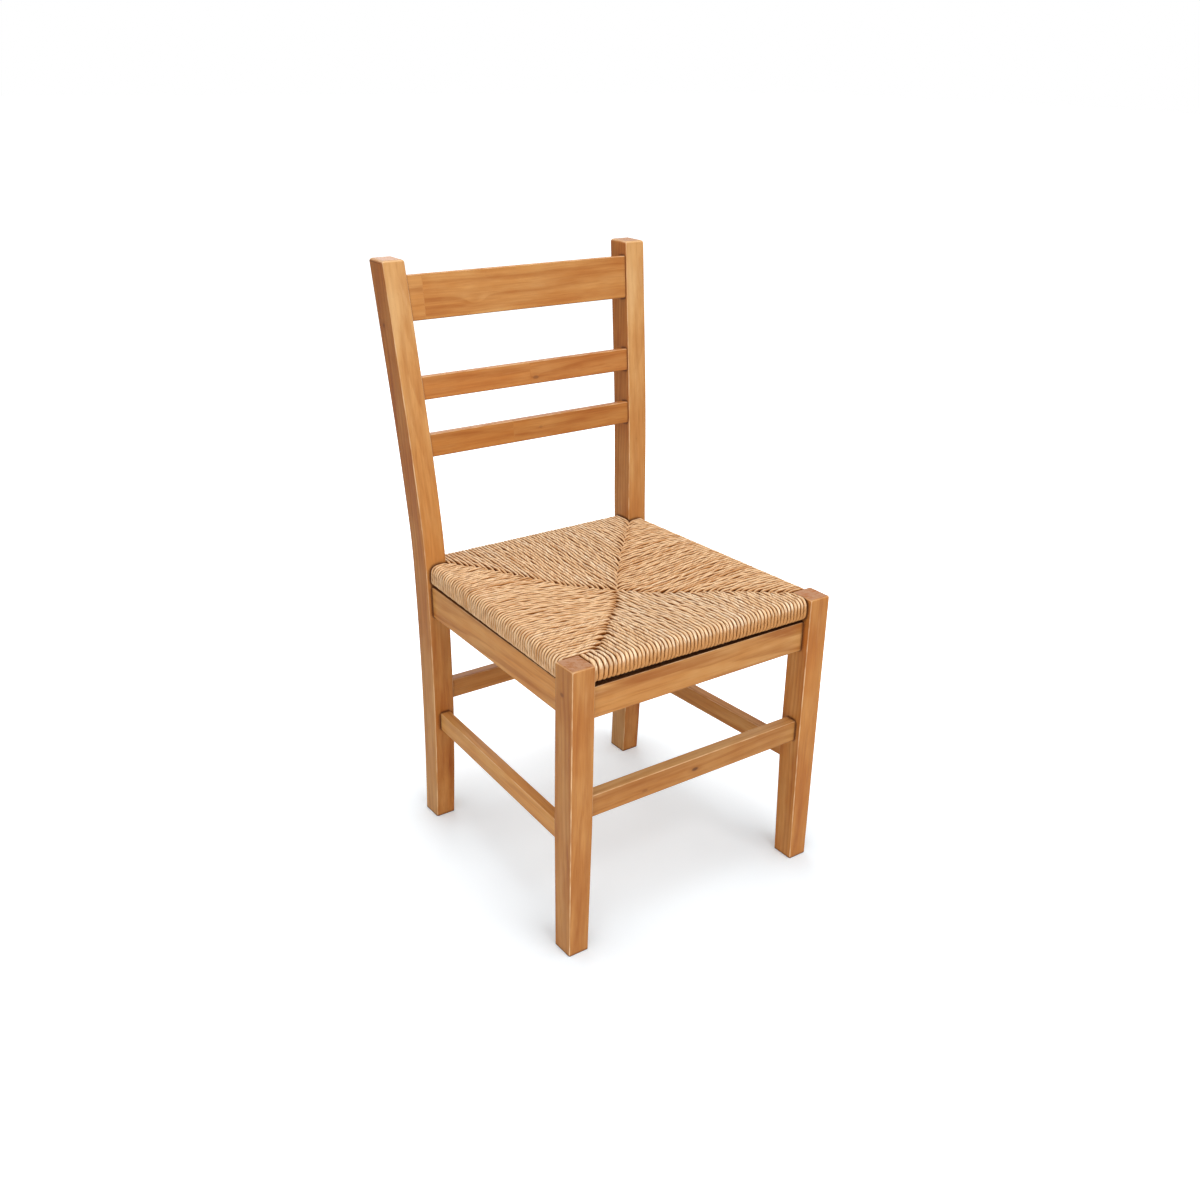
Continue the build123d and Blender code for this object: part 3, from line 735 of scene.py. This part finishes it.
class SeatPlan:
    """The seat's outline and seams, with the height of its top and underside."""

    # Where the dish of the top begins and is full, in metres from the edges
    dish_from_front = (0.030, 0.180)
    dish_from_rear = (0.030, 0.210)
    dish_from_sides = (0.030, 0.180)
    # The strip at the rear end of a side in which its width is measured, in metres
    rear_strip = 0.004

    def __init__(self, rush):
        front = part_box("rush_front")
        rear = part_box("rush_rear")
        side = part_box("rush_left")
        self.front = front[0].y
        self.rear = rear[1].y
        self.top = front[1].z
        self.bottom = front[0].z
        self.half_way_up = (self.top + self.bottom) / 2
        self.front_half = front[1].x
        self.rear_half = rear[1].x
        self.side_front = side[0].y
        self.side_rear = side[1].y
        self.edge_front = side[1].x
        points = node_points("rush_left")
        self.edge_rear = points[points[:, 1] > self.side_rear - self.rear_strip, 0].max()
        self.chair_front = CAD_BOX[0][1]
        self.dish = rush.dish

    def edge(self, y):
        """Distance from the middle plane to the side edge, along a straight slant."""
        part_back = (y - self.side_front) / (self.side_rear - self.side_front)
        return self.edge_front + (self.edge_rear - self.edge_front) * part_back

    def seam_points(self, first, second):
        """The points of two seams and of the middle between them, in the chair's frame."""
        return np.array([*first, SEAT_MIDDLE, *reversed(second)]) + (0.0, self.chair_front)

    def seam_depth(self, right, left, x):
        """Y of the front or the rear seam at each x, straight between its points."""
        points = self.seam_points(right, left)
        return np.interp(x, points[:, 0], points[:, 1])

    def seam_side(self, front, rear, y):
        """X of a side's seam at each y, straight between its points."""
        points = self.seam_points(front, rear)
        return np.interp(y, points[:, 1], points[:, 0])

    def sink(self, x, y):
        """How far the top lies below the edges: a bowl that starts inside the rails."""
        across = fade(self.edge(y) - np.abs(x), *self.dish_from_sides)
        behind = fade(y - self.front, *self.dish_from_front)
        before = fade(self.rear - y, *self.dish_from_rear)
        return self.dish * across * behind * before


@dataclass
class Field:
    """A field of strands over one edge of the seat.

    along: the strands' places along the edge
    reach: how far it is from the edge to each strand's seam
    place: gives x and y by the place along the edge and the depth from it
    tone: the strands' mean tone, more for paler; it differs between the fields as painted light
    darkening, bend_shadow: how dark they are on the edge's face, and how dark the painted shadow is at its
    lower bend
    stray: how far they stray sideways, in metres
    even: how much paler their flanks are on the edge's face, with less painted shade on them
    drawn_up: how far each one's lower bend is drawn up, in metres
    """

    name: str
    along: np.ndarray
    reach: np.ndarray
    place: object
    tone: float
    darkening: float
    bend_shadow: float
    stray: float
    even: float = 0.06
    drawn_up: object = 0.0


def spaced(low, high, count, loose=0.0):
    """Middles of spaces, equal but for the first few, which are wider by a share that dies away."""
    widths = 1.0 + loose * np.exp(-np.arange(count) / LOOSE_STRANDS)
    ends = np.cumsum(widths)
    return low + (high - low) * (ends - widths / 2) / ends[-1]


def rush_fields(plan, rush):
    """The four fields of strands: each runs in from its edge to the seams on its two sides."""
    x = spaced(-plan.front_half, plan.front_half, rush.front_strands, LOOSE_SHARE)
    reach = plan.seam_depth(SEAM_FRONT_RIGHT, SEAM_FRONT_LEFT, x) - plan.front
    # The fields' mean tones differ as painted light: the front field palest, the side fields darkest
    yield Field(
        "front", x, reach, lambda along, depth: (along, plan.front + depth),
        tone=0.64, darkening=0.60, bend_shadow=0.92, stray=0.0005,
        drawn_up=rush.drawn_up * fade(x, plan.front_half, -plan.front_half)[:, None],
    )
    x = spaced(-plan.rear_half, plan.rear_half, rush.rear_strands)
    reach = plan.rear - plan.seam_depth(SEAM_REAR_RIGHT, SEAM_REAR_LEFT, x)
    yield Field(
        "rear", x, reach, lambda along, depth: (along, plan.rear - depth),
        tone=0.54, darkening=0.40, bend_shadow=0.75, stray=0.0005,
    )
    y = spaced(plan.side_front, plan.side_rear, rush.side_strands)
    reach = plan.edge(y) - plan.seam_side(SEAM_FRONT_LEFT, SEAM_REAR_LEFT, y)
    yield Field(
        "left", y, reach, lambda along, depth: (plan.edge(along) - depth, along),
        tone=0.36, darkening=0.20, bend_shadow=0.75, stray=0.0008,
    )
    reach = plan.edge(y) + plan.seam_side(SEAM_FRONT_RIGHT, SEAM_REAR_RIGHT, y)
    yield Field(
        "right", y, reach, lambda along, depth: (depth - plan.edge(along), along),
        tone=0.40, darkening=0.24, bend_shadow=0.45, stray=0.0009, even=0.11,
    )


class Strands:
    """The strands of one field, each an oval section carried along its way over the rail and back below it.
    Its arrays have a row for each strand, a column for each ring and a layer for each side of a section."""

    # Sides of the section, and rings along the parts of the way
    sides = 10
    dive_rings = 9
    top_rings = 57
    knee_rings = 8
    under_rings = 15
    rise_rings = 5

    # Ends of the strands, in metres: how far they go past the seam, down from the top, with the power of
    # that curve, and up from below; then how far every other one ends beyond the rest, and each by chance
    past_seam = 0.0045
    end_drop = 0.0070
    drop_power = 2.2
    end_rise = 0.0060
    alternate = 0.0020
    ragged = 0.0015

    # Lengths of the waves sideways, up and down, in width and in tone, the sizes of the last three, and the
    # share of the lift that the strands below take
    stray_waves = (0.055, 0.13)
    lift_waves = (0.04, 0.09)
    plump_waves = (0.03, 0.07)
    tone_waves = (0.06, 0.15)
    lift_size = 0.00055
    plump_size = 0.030
    tone_size = 0.06
    lift_below = -0.5

    # Ranges from which each strand draws the stretch of its waves, its narrowing at the seam, its width and
    # its lay, and the spread of the tones
    wave_stretch = (0.75, 1.35)
    pinch = (0.10, 0.34)
    plumpness = (0.95, 1.06)
    lay_stretch = (0.8, 1.25)
    tone_spread = 0.10

    # Half the width as a share of the strands' spacing, how much it swells on the face and below, the share
    # of the height that follows the width at the seam, and the height of the twist's two lobes
    half_share = 0.470
    face_swell = 0.02
    below_swell = 0.10
    height_follows = 0.10
    lobe = 0.08

    # Where an effect begins and where it is full, in metres: by depth from the edge, by depth below the top,
    # by height over the lowest point, or by distance from the seam
    waver_depth = (0.012, 0.047)
    edge_depth = (0.016, 0.010)
    face_drop = (0.006, 0.016)
    swell_height = (0.012, 0.006)
    bend_height = (0.012, 0.003)
    full_width = (0.001, 0.021)
    seam_dark_range = (0.020, 0.0)

    # How dark the strands are at the seam, and the shift of the pattern from each strand to the next, in
    # metres along it
    seam_darkening = 0.30
    map_shift = 0.6

    def __init__(self, plan, rush, field, seed):
        self.plan = plan
        self.rush = rush
        self.field = field
        self.random = np.random.default_rng(seed)
        self.order = np.arange(len(field.along))[:, None]
        uneven = self.alternate * (-1.0) ** self.order + self.draw(-self.ragged, self.ragged)
        self.reach = field.reach[:, None] + uneven

    def draw(self, low, high):
        """A random number for each strand."""
        return self.random.uniform(low, high, self.order.shape)

    def waver(self, travel, size, wavelengths):
        """A sum of sines along each strand, with a phase of its own for every strand."""
        total = np.zeros_like(travel)
        for wavelength in wavelengths:
            phase = self.draw(0.0, FULL_TURN)
            stretch = self.draw(*self.wave_stretch)
            total += np.sin(FULL_TURN * travel / (wavelength * stretch) + phase)
        return size * total / math.sqrt(len(wavelengths))

    def ways(self):
        """Depth from the edge and height of each strand's middle line: up out of the seam along a power of
        the way, straight over the top, two quarter circles round the edge, straight back below, and up to
        the seam along a square of the way."""
        rush = self.rush
        half = rush.cord_height / 2
        knee = rush.knee_radius
        bend = knee - half
        top = self.plan.top - half
        bottom = np.zeros_like(self.reach) + self.plan.bottom + half + self.field.drawn_up
        settled = self.reach - rush.dive
        end_length = self.past_seam + rush.dive
        every = np.ones_like(self.reach)

        dive = np.linspace(0.0, 1.0, self.dive_rings)[:-1]
        over = np.linspace(0.0, 1.0, self.top_rings)[:-1]
        angle = np.linspace(0.0, math.pi / 2, self.knee_rings)
        under = np.linspace(0.0, 1.0, self.under_rings)[1:]
        rise = np.linspace(0.0, 1.0, self.rise_rings)[1:]
        depths = (
            self.reach + self.past_seam - end_length * dive,
            settled + (knee - settled) * over,
            (knee - bend * np.sin(angle)) * every,
            (knee - bend * np.cos(angle)) * every,
            knee + (settled - knee) * under,
            settled + end_length * rise,
        )
        heights = (
            (top - self.end_drop * (1.0 - dive) ** self.drop_power) * every,
            top * np.ones_like(over) * every,
            (top - bend * (1.0 - np.cos(angle))) * every,
            bottom + bend * (1.0 - np.sin(angle)),
            bottom * np.ones_like(under),
            bottom + self.end_rise * rise ** 2,
        )
        return np.concatenate(depths, axis=1), np.concatenate(heights, axis=1)

    def strayed(self, depth, height, travel):
        """Places along the edge and heights over the dish, both wavering along each strand."""
        loose = fade(depth, *self.waver_depth)
        along = self.field.along[:, None] + self.waver(travel, self.field.stray, self.stray_waves) * loose
        upper = height > self.plan.half_way_up
        height = height - self.plan.sink(*self.field.place(along, depth)) * upper
        lift = self.waver(travel, self.lift_size, self.lift_waves) * loose
        return along, height + lift * np.where(upper, 1.0, self.lift_below)

    def outward(self, depth, height):
        """The normals of the ways in depth and height: their slopes turned by a quarter, to look out of the
        seat at the start."""
        slope_depth = np.gradient(depth, axis=1)
        slope_height = np.gradient(height, axis=1)
        slope = np.hypot(slope_depth, slope_height)
        normal_depth = -slope_height / slope
        normal_height = slope_depth / slope
        outwards = normal_height[:, :1] * (height[:, :1] - self.plan.half_way_up)
        turned = np.where(outwards < 0.0, -1.0, 1.0)
        return normal_depth * turned, normal_height * turned

    def build(self):
        """Points, faces, map and stored values: an ellipse with two lobes that twist along the strand, set
        across its way, and a tone, the nearness to a flank and how dark the strand is made on every point:
        on the edge's face, near the seams and, as a painted shadow, at the lower bend."""
        field, plan = self.field, self.plan
        depth, height = self.ways()
        steps = np.hypot(np.diff(depth, axis=1), np.diff(height, axis=1))
        travel = np.concatenate([np.zeros_like(self.reach), np.cumsum(steps, axis=1)], axis=1)
        along, height = self.strayed(depth, height, travel)
        normal_depth, normal_height = self.outward(depth, height)

        to_seam = self.reach - depth
        over_lowest = height - plan.bottom - field.drawn_up
        at_edge = fade(depth, *self.edge_depth)
        on_face = fade(plan.top - height, *self.face_drop) * at_edge
        swell = self.face_swell * on_face + self.below_swell * fade(over_lowest, *self.swell_height)
        narrow = 1.0 - self.draw(*self.pinch) * (1.0 - fade(to_seam, *self.full_width))
        plump = self.draw(*self.plumpness) * (1.0 + self.waver(travel, self.plump_size, self.plump_waves))
        pitch = np.gradient(field.along)[:, None]
        half_width = self.half_share * pitch * narrow * plump * (1.0 + swell)
        half_height = self.rush.cord_height / 2 * (1.0 - self.height_follows * (1.0 - narrow))

        angle = np.linspace(0.0, FULL_TURN, self.sides, endpoint=False)
        lay = self.rush.lay * self.draw(*self.lay_stretch)
        twist = FULL_TURN * travel / lay + self.draw(0.0, FULL_TURN)
        lobes = 1.0 + self.lobe * np.cos(2.0 * (angle - twist[:, :, None]))
        sideways = half_width[:, :, None] * lobes * np.cos(angle)
        outwards = half_height[:, :, None] * lobes * np.sin(angle)
        ring_depth = depth[:, :, None] + outwards * normal_depth[:, :, None]
        ring_height = height[:, :, None] + outwards * normal_height[:, :, None]
        x, y = field.place(along[:, :, None] + sideways, ring_depth)
        points = np.stack([x, y, ring_height], axis=-1).reshape(-1, 3)

        tone = self.random.normal(field.tone, self.tone_spread, self.order.shape)
        tone = np.clip(tone + self.waver(travel, self.tone_size, self.tone_waves), 0.0, 1.0)
        flank = np.abs(np.cos(angle)) * (1.0 - field.even * on_face[:, :, None])
        at_bend = fade(over_lowest, *self.bend_height) * at_edge
        darkening = np.maximum(self.seam_darkening * fade(to_seam, *self.seam_dark_range), field.darkening * on_face)
        # The lower bend over the gap above the rails is marked for a painted shadow
        darkening = np.maximum(darkening, field.bend_shadow * at_bend)
        stored = np.broadcast_arrays(tone[:, :, None], flank, darkening[:, :, None])
        stored = np.stack(stored, axis=-1).reshape(-1, 3)
        faces, strand_map = self.faces(travel + self.map_shift * self.order, -twist / FULL_TURN)
        return points, faces, strand_map, stored

    def faces(self, travel, turns):
        """Four-sided faces round every strand, its ends closed by strips of such faces, and each corner's
        map: the way along the strand, and the turn about its twisting middle line."""
        sides = self.sides
        count, rings = travel.shape
        index = np.arange(count * rings * sides).reshape(count, rings, sides)
        ahead = np.roll(index, -1, axis=2)
        tube = np.stack([index[:, :-1], index[:, 1:], ahead[:, 1:], ahead[:, :-1]], axis=-1).reshape(-1, 4)
        low = np.arange(sides // 2 - 1)
        strip = np.stack([low, low + 1, sides - 2 - low, sides - 1 - low], axis=-1)
        first = index[:, 0][:, strip].reshape(-1, 4)
        last = index[:, -1][:, strip[:, ::-1]].reshape(-1, 4)

        along = np.repeat(travel[:, :, None], sides, axis=2)
        turn = turns[:, :, None] + np.arange(sides) / sides
        here = np.stack([along, turn], axis=-1)
        beside = np.stack([along, turn + 1.0 / sides], axis=-1)
        corners = [here[:, :-1], here[:, 1:], beside[:, 1:], beside[:, :-1]]
        tube_map = np.stack(corners, axis=-2).reshape(-1, 4, 2)
        on_points = here.reshape(-1, 2)
        strand_map = np.concatenate([tube_map, on_points[first], on_points[last]])
        return np.concatenate([tube, first, last]), strand_map


def rush_cord(name, rush):
    """Twisted rush: leaves and hairs along the twist, a tone for each strand, brown spots, painted shade in
    the ply grooves, in creases, on the flanks and where other surfaces close in, a painted highlight on the
    crests and a painted shadow at the lower bends, on a dry, slightly waxy surface."""
    shader = Shader(name)
    stored = shader.add("Attribute", attribute_name="tone", attribute_type="GEOMETRY").outputs["Vector"]
    tone, flank, darkening = shader.apart(stored)
    way, turn = shader.apart(shader.add("UVMap", uv_map="strand").outputs["UV"])[:2]
    angle = shader.math("MULTIPLY", turn, FULL_TURN)
    cosine = shader.math("COSINE", angle)
    sine = shader.math("SINE", angle)
    fibre = shader.add("CombineXYZ", {0: way, 1: cosine, 2: sine}).outputs[0]
    leaf = shader.noise(fibre, LEAF_SCALE, roughness=0.6)
    hair = shader.noise(fibre, HAIR_SCALE, roughness=0.6)
    patch = shader.noise(fibre, PATCH_SCALE)
    spot = shader.noise(shader.point(), SPOT_SCALE, roughness=0.55)

    from_ply = shader.math("ABSOLUTE", shader.swing(cosine, leaf, 0.7))
    from_crease = shader.math("ABSOLUTE", shader.math("SUBTRACT", leaf, 0.5))
    shade = shader.swing(shader.swing(tone, leaf, 1.0), patch, 0.5)
    # How near a flank each point lies, which places the painted shade on the flanks and the painted
    # highlight on the crests
    side = shader.swing(flank, patch, 0.24)
    spotted = shader.math(
        "MULTIPLY", shader.ramp(spot, 0.60, 0.74), shader.ramp(patch, 0.45, 0.62, 0.0, 0.55)
    )
    body = shader.lay_over(rush.straw, rush.cream, shade, start=0.50, full=0.95)
    body = shader.lay_over(body, rush.tan, shade, start=0.48, full=0.05)
    body = shader.lay_over(body, rush.tan, hair, start=0.46, full=0.26, most=0.38)
    # Painted shade in the ply grooves of the twist, in the brown of the spots
    body = shader.lay_over(body, rush.stain, from_ply, start=0.34, full=0.02, most=0.48)
    body = shader.mix(spotted, body, rush.stain)
    # Painted highlight: the palest colour on each strand's crest, away from its flanks
    body = shader.lay_over(body, rush.cream, side, start=0.55, full=0.08, most=0.50)
    # Painted shade in the thin creases between the leaves
    body = shader.lay_over(body, rush.stain, from_crease, start=0.050, full=0.004, most=0.48)
    # Tan where the strands are made darker: on the edge's face, near the seams and at the lower bend
    body = shader.lay_over(body, rush.tan, darkening, start=0.0, full=0.65)
    # Painted shade on the flanks between two strands: tan and then the darkest brown
    body = shader.lay_over(body, rush.tan, side, start=0.44, full=0.80, most=0.62)
    body = shader.lay_over(body, rush.groove_shade, side, start=0.62, full=0.94, most=0.96)
    # Painted shade where other surfaces close in on the cord
    opening = shader.openness(rush.shade_reach, samples=6)
    body = shader.lay_over(body, rush.groove_shade, opening, start=0.48, full=0.13, most=0.80)
    # Painted shadow at the lower bends, over the gap above the rails
    body = shader.lay_over(body, rush.hollow_shadow, darkening, start=0.62, full=0.98)
    relief = shader.math("MULTIPLY_ADD", hair, 0.25, shader.math("MULTIPLY", leaf, 0.5))
    relief = shader.math("ADD", relief, shader.ramp(from_ply, 0.0, 0.5))
    return shader.finish(
        Base_Color=body,
        Roughness=shader.ramp(leaf, 0.3, 0.7, 0.62, 0.46),
        Specular_IOR_Level=0.15,
        Normal=shader.bump(relief, distance=0.0008, strength=0.75),
    )


def padding(name, rush):
    """Loose rush waste: short brown fibres in every direction."""
    shader = Shader(name)
    flattened = shader.mapped(shader.point(), scale=(1.0, 1.0, 3.0))
    tangle = shader.noise(flattened, 260.0, 3.0, 0.7, 2.0)
    body = shader.lay_over(rush.stain, rush.tan, tangle, start=0.3, full=0.7)
    return shader.finish(
        Base_Color=body, Roughness=0.9, Normal=shader.bump(tangle, distance=0.002, strength=0.8)
    )


def padding_shape(plan):
    """A closed pillow inside the seat's frame: a grid whose two layers swell apart by a flattened dome and
    share the points of their rim."""
    steps = PADDING_STEPS
    row = np.linspace(-1.0, 1.0, steps)
    across, back = np.meshgrid(row, row)
    y = (plan.side_front + plan.side_rear) / 2 + back * PADDING_HALF_DEPTH
    x = across * (plan.edge(y) - PADDING_INSET)
    dome = ((1.0 - across ** DOME_FLATNESS) * (1.0 - back ** DOME_FLATNESS)) ** DOME_ROUNDNESS
    low = plan.bottom + PADDING_COVER
    high = plan.top - PADDING_COVER - plan.sink(x, y)
    lumps = LUMP_HEIGHT * (np.sin(x * LUMP_WAVES[0]) * np.cos(y * LUMP_WAVES[1]) - 1.0)
    middle = (low + high) / 2
    upper = middle + (high - middle + lumps) * dome
    lower = middle - (middle - low + lumps) * dome
    layers = [np.stack([x, y, layer], axis=-1).reshape(-1, 3) for layer in (upper, lower)]

    index = np.arange(steps * steps).reshape(steps, steps)
    corners = [index[:-1, :-1], index[:-1, 1:], index[1:, 1:], index[1:, :-1]]
    quads = np.stack(corners, axis=-1).reshape(-1, 4)
    rim = np.concatenate([index[0, :-1], index[:-1, -1], index[-1, :0:-1], index[:0:-1, 0]])
    below = index.ravel() + steps * steps
    below[rim] = rim
    used = np.concatenate([index.ravel(), below[np.setdiff1d(index, rim)]])
    order = np.zeros(2 * steps * steps, dtype=int)
    order[used] = np.arange(len(used))
    faces = np.concatenate([order[quads], order[below[quads[:, ::-1]]]])
    return np.concatenate(layers)[used], faces


# Operators

class CHAIR_OT_finish_frame(bpy.types.Operator):
    """Give every wooden piece of the frame its stained grain"""

    bl_idname = "chair.finish_frame"
    bl_label = "Finish the frame"

    def execute(self, context):
        for plank in PLANKS:
            dress(plank.node, HoneyWood(plank, context.scene.chair_wood).build())
        return {"FINISHED"}


class CHAIR_OT_finish_hidden(bpy.types.Operator):
    """Give the corner blocks, their screws and the seat's inner frame their finishes"""

    bl_idname = "chair.finish_hidden"
    bl_label = "Finish the hidden pieces"

    def execute(self, context):
        wood = plain_wood("plain_wood", context.scene.chair_wood)
        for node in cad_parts:
            if node.startswith(("corner_block_front", "corner_block_rear", "seat_rail", "seat_frame")):
                dress(node, wood)
        dress("corner_block_screws", screw_steel("screw_steel"))
        return {"FINISHED"}


class CHAIR_OT_pad_seat(bpy.types.Operator):
    """Fill the seat's frame with loose padding"""

    bl_idname = "chair.pad_seat"
    bl_label = "Pad the seat"

    def execute(self, context):
        rush = context.scene.chair_rush
        points, faces = padding_shape(SeatPlan(rush))
        piece = mesh_piece("seat_padding", points, faces, padding("padding", rush), "seat")
        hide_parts("stuffing_front", "stuffing_rear", "stuffing_left", "stuffing_right")
        return {"FINISHED"}


class CHAIR_OT_wind_rush(bpy.types.Operator):
    """Wind the four fields of rush over the seat's frame"""

    bl_idname = "chair.wind_rush"
    bl_label = "Wind the rush"

    def execute(self, context):
        rush = context.scene.chair_rush
        plan = SeatPlan(rush)
        cord = rush_cord("rush_cord", rush)
        for number, field in enumerate(rush_fields(plan, rush)):
            points, faces, strand_map, tone = Strands(plan, rush, field, rush.seed + number).build()
            name = "rush_weave_" + field.name
            piece = mesh_piece(name, points, faces, cord, "seat", strand_map, tone)
            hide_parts("rush_" + field.name)
        return {"FINISHED"}


class CHAIR_OT_set_stage(bpy.types.Operator):
    """Set up the camera, the pale floor and the soft lights"""

    bl_idname = "chair.set_stage"
    bl_label = "Set the stage"

    def camera(self, stage):
        """The camera at the photograph's angle."""
        yaw, pitch, roll = stage.yaw, stage.pitch, stage.roll
        back = Vector((math.sin(yaw) * math.cos(pitch), -math.cos(yaw) * math.cos(pitch), math.sin(pitch)))
        level = Vector((math.cos(yaw), math.sin(yaw), 0.0))
        rise = back.cross(level)
        right = math.cos(roll) * level + math.sin(roll) * rise
        up = math.cos(roll) * rise - math.sin(roll) * level
        data = bpy.data.cameras.new("camera")
        data.lens = stage.lens
        data.sensor_width = SENSOR_WIDTH
        data.clip_end = VIEW_END
        camera = bpy.data.objects.new("camera", data)
        turn = Matrix((right, up, back)).transposed().to_4x4()
        camera.matrix_world = Matrix.Translation(Vector(stage.eye)) @ turn
        bpy.context.scene.collection.objects.link(camera)
        bpy.context.scene.camera = camera

    def light(self, lamp, power):
        """A soft square light aimed at a point."""
        data = bpy.data.lights.new(lamp.name, "AREA")
        data.energy = power
        data.size = lamp.width
        light = bpy.data.objects.new(lamp.name, data)
        light.location = lamp.place
        light.rotation_euler = (Vector(lamp.aim) - Vector(lamp.place)).to_track_quat("-Z", "Y").to_euler()
        bpy.context.scene.collection.objects.link(light)

    def floor(self, stage):
        """A wide pale floor, seen from above only, with a glow that only the camera sees: painted light that
        lifts it to white, weaker round the middle of the shade and by the feet, where the floor's own
        shading shows."""
        corners = [(FLOOR_HALF * x, FLOOR_HALF * y, 0.0) for x, y in ((-1, -1), (1, -1), (1, 1), (-1, 1))]
        mesh = bpy.data.meshes.new("floor")
        mesh.from_pydata(corners, [], [(0, 1, 2, 3)])
        floor = bpy.data.objects.new("floor", mesh)
        bpy.context.scene.collection.objects.link(floor)
        shader = Shader("floor")
        ends = {0: shader.point(), 1: stage.shade_middle}
        distance = shader.add("VectorMath", ends, operation="DISTANCE").outputs["Value"]
        # Painted light: the camera-only glow, weaker near the shade's middle and by the feet
        white = shader.ramp(distance, SHADE_DEEPEST, SHADE_END, *FLOOR_GLOW)
        by_feet = shader.ramp(shader.openness(FOOT_SHADE_REACH), 0.80, 1.0, *FOOT_SHADE)
        white = shader.math("MULTIPLY", white, by_feet)
        seen = shader.add("LightPath").outputs["Is Camera Ray"]
        glow = shader.add("Emission", {"Strength": shader.math("MULTIPLY", seen, white)}).outputs[0]
        diffuse = shader.add("BsdfDiffuse", {"Color": stage.floor}).outputs[0]
        surface = shader.add("AddShader", {0: diffuse, 1: glow}).outputs[0]
        clear = shader.add("BsdfTransparent").outputs[0]
        below = shader.add("NewGeometry").outputs["Backfacing"]
        shown = shader.add("MixShader", {0: below, 1: surface, 2: clear}).outputs[0]
        mesh.materials.append(shader.show(shown))

    def world(self, stage):
        """Even light from all round, which the camera and reflections see as white."""
        world = bpy.data.worlds.new("studio")
        bpy.context.scene.world = world
        world.use_nodes = True
        nodes = Nodes(world.node_tree)
        rays = nodes.add("LightPath").outputs
        mirrored = nodes.math("MAXIMUM", rays["Is Glossy Ray"], rays["Is Transmission Ray"])
        seen = nodes.math("MAXIMUM", rays["Is Camera Ray"], mirrored)
        level = nodes.add("MapRange", {"Value": seen, "To Min": stage.ambient, "To Max": 1.0}).outputs[0]
        sky = nodes.add("Background", {"Color": WHITE, "Strength": level}).outputs[0]
        nodes.add("OutputWorld", {"Surface": sky})

    def execute(self, context):
        stage = context.scene.chair_stage
        context.scene.view_settings.view_transform = "Standard"
        self.camera(stage)
        self.floor(stage)
        self.world(stage)
        for lamp in LAMPS:
            self.light(lamp, getattr(stage, lamp.power))
        return {"FINISHED"}


class CHAIR_PT_panel(bpy.types.Panel):
    """The chair's operators and settings"""

    bl_idname = "CHAIR_PT_panel"
    bl_label = "Dining chair"
    bl_space_type = "VIEW_3D"
    bl_region_type = "UI"
    bl_category = "Chair"

    def draw(self, context):
        column = self.layout.column()
        for operator in OPERATORS:
            column.operator(operator.bl_idname)
        for group in SETTINGS:
            settings = getattr(context.scene, group)
            column.label(text=SETTINGS[group].__doc__)
            for name in SETTINGS[group].__annotations__:
                column.prop(settings, name)


OPERATORS = (
    CHAIR_OT_finish_frame,
    CHAIR_OT_finish_hidden,
    CHAIR_OT_pad_seat,
    CHAIR_OT_wind_rush,
    CHAIR_OT_set_stage,
)
SETTINGS = {"chair_wood": WoodSettings, "chair_rush": RushSettings, "chair_stage": StageSettings}
CLASSES = (*SETTINGS.values(), *OPERATORS, CHAIR_PT_panel)


def register():
    """Registers the classes and hangs the settings on the scene."""
    for item in CLASSES:
        bpy.utils.register_class(item)
    for name, group in SETTINGS.items():
        setattr(bpy.types.Scene, name, PointerProperty(type=group))


def unregister():
    """Takes the settings and the classes away again."""
    for name in SETTINGS:
        delattr(bpy.types.Scene, name)
    for item in reversed(CLASSES):
        bpy.utils.unregister_class(item)


def main():
    """Builds the chair's looks."""
    register()
    bpy.ops.chair.finish_frame()
    bpy.ops.chair.finish_hidden()
    bpy.ops.chair.pad_seat()
    bpy.ops.chair.wind_rush()
    bpy.ops.chair.set_stage()


if __name__ == "__main__":
    main()
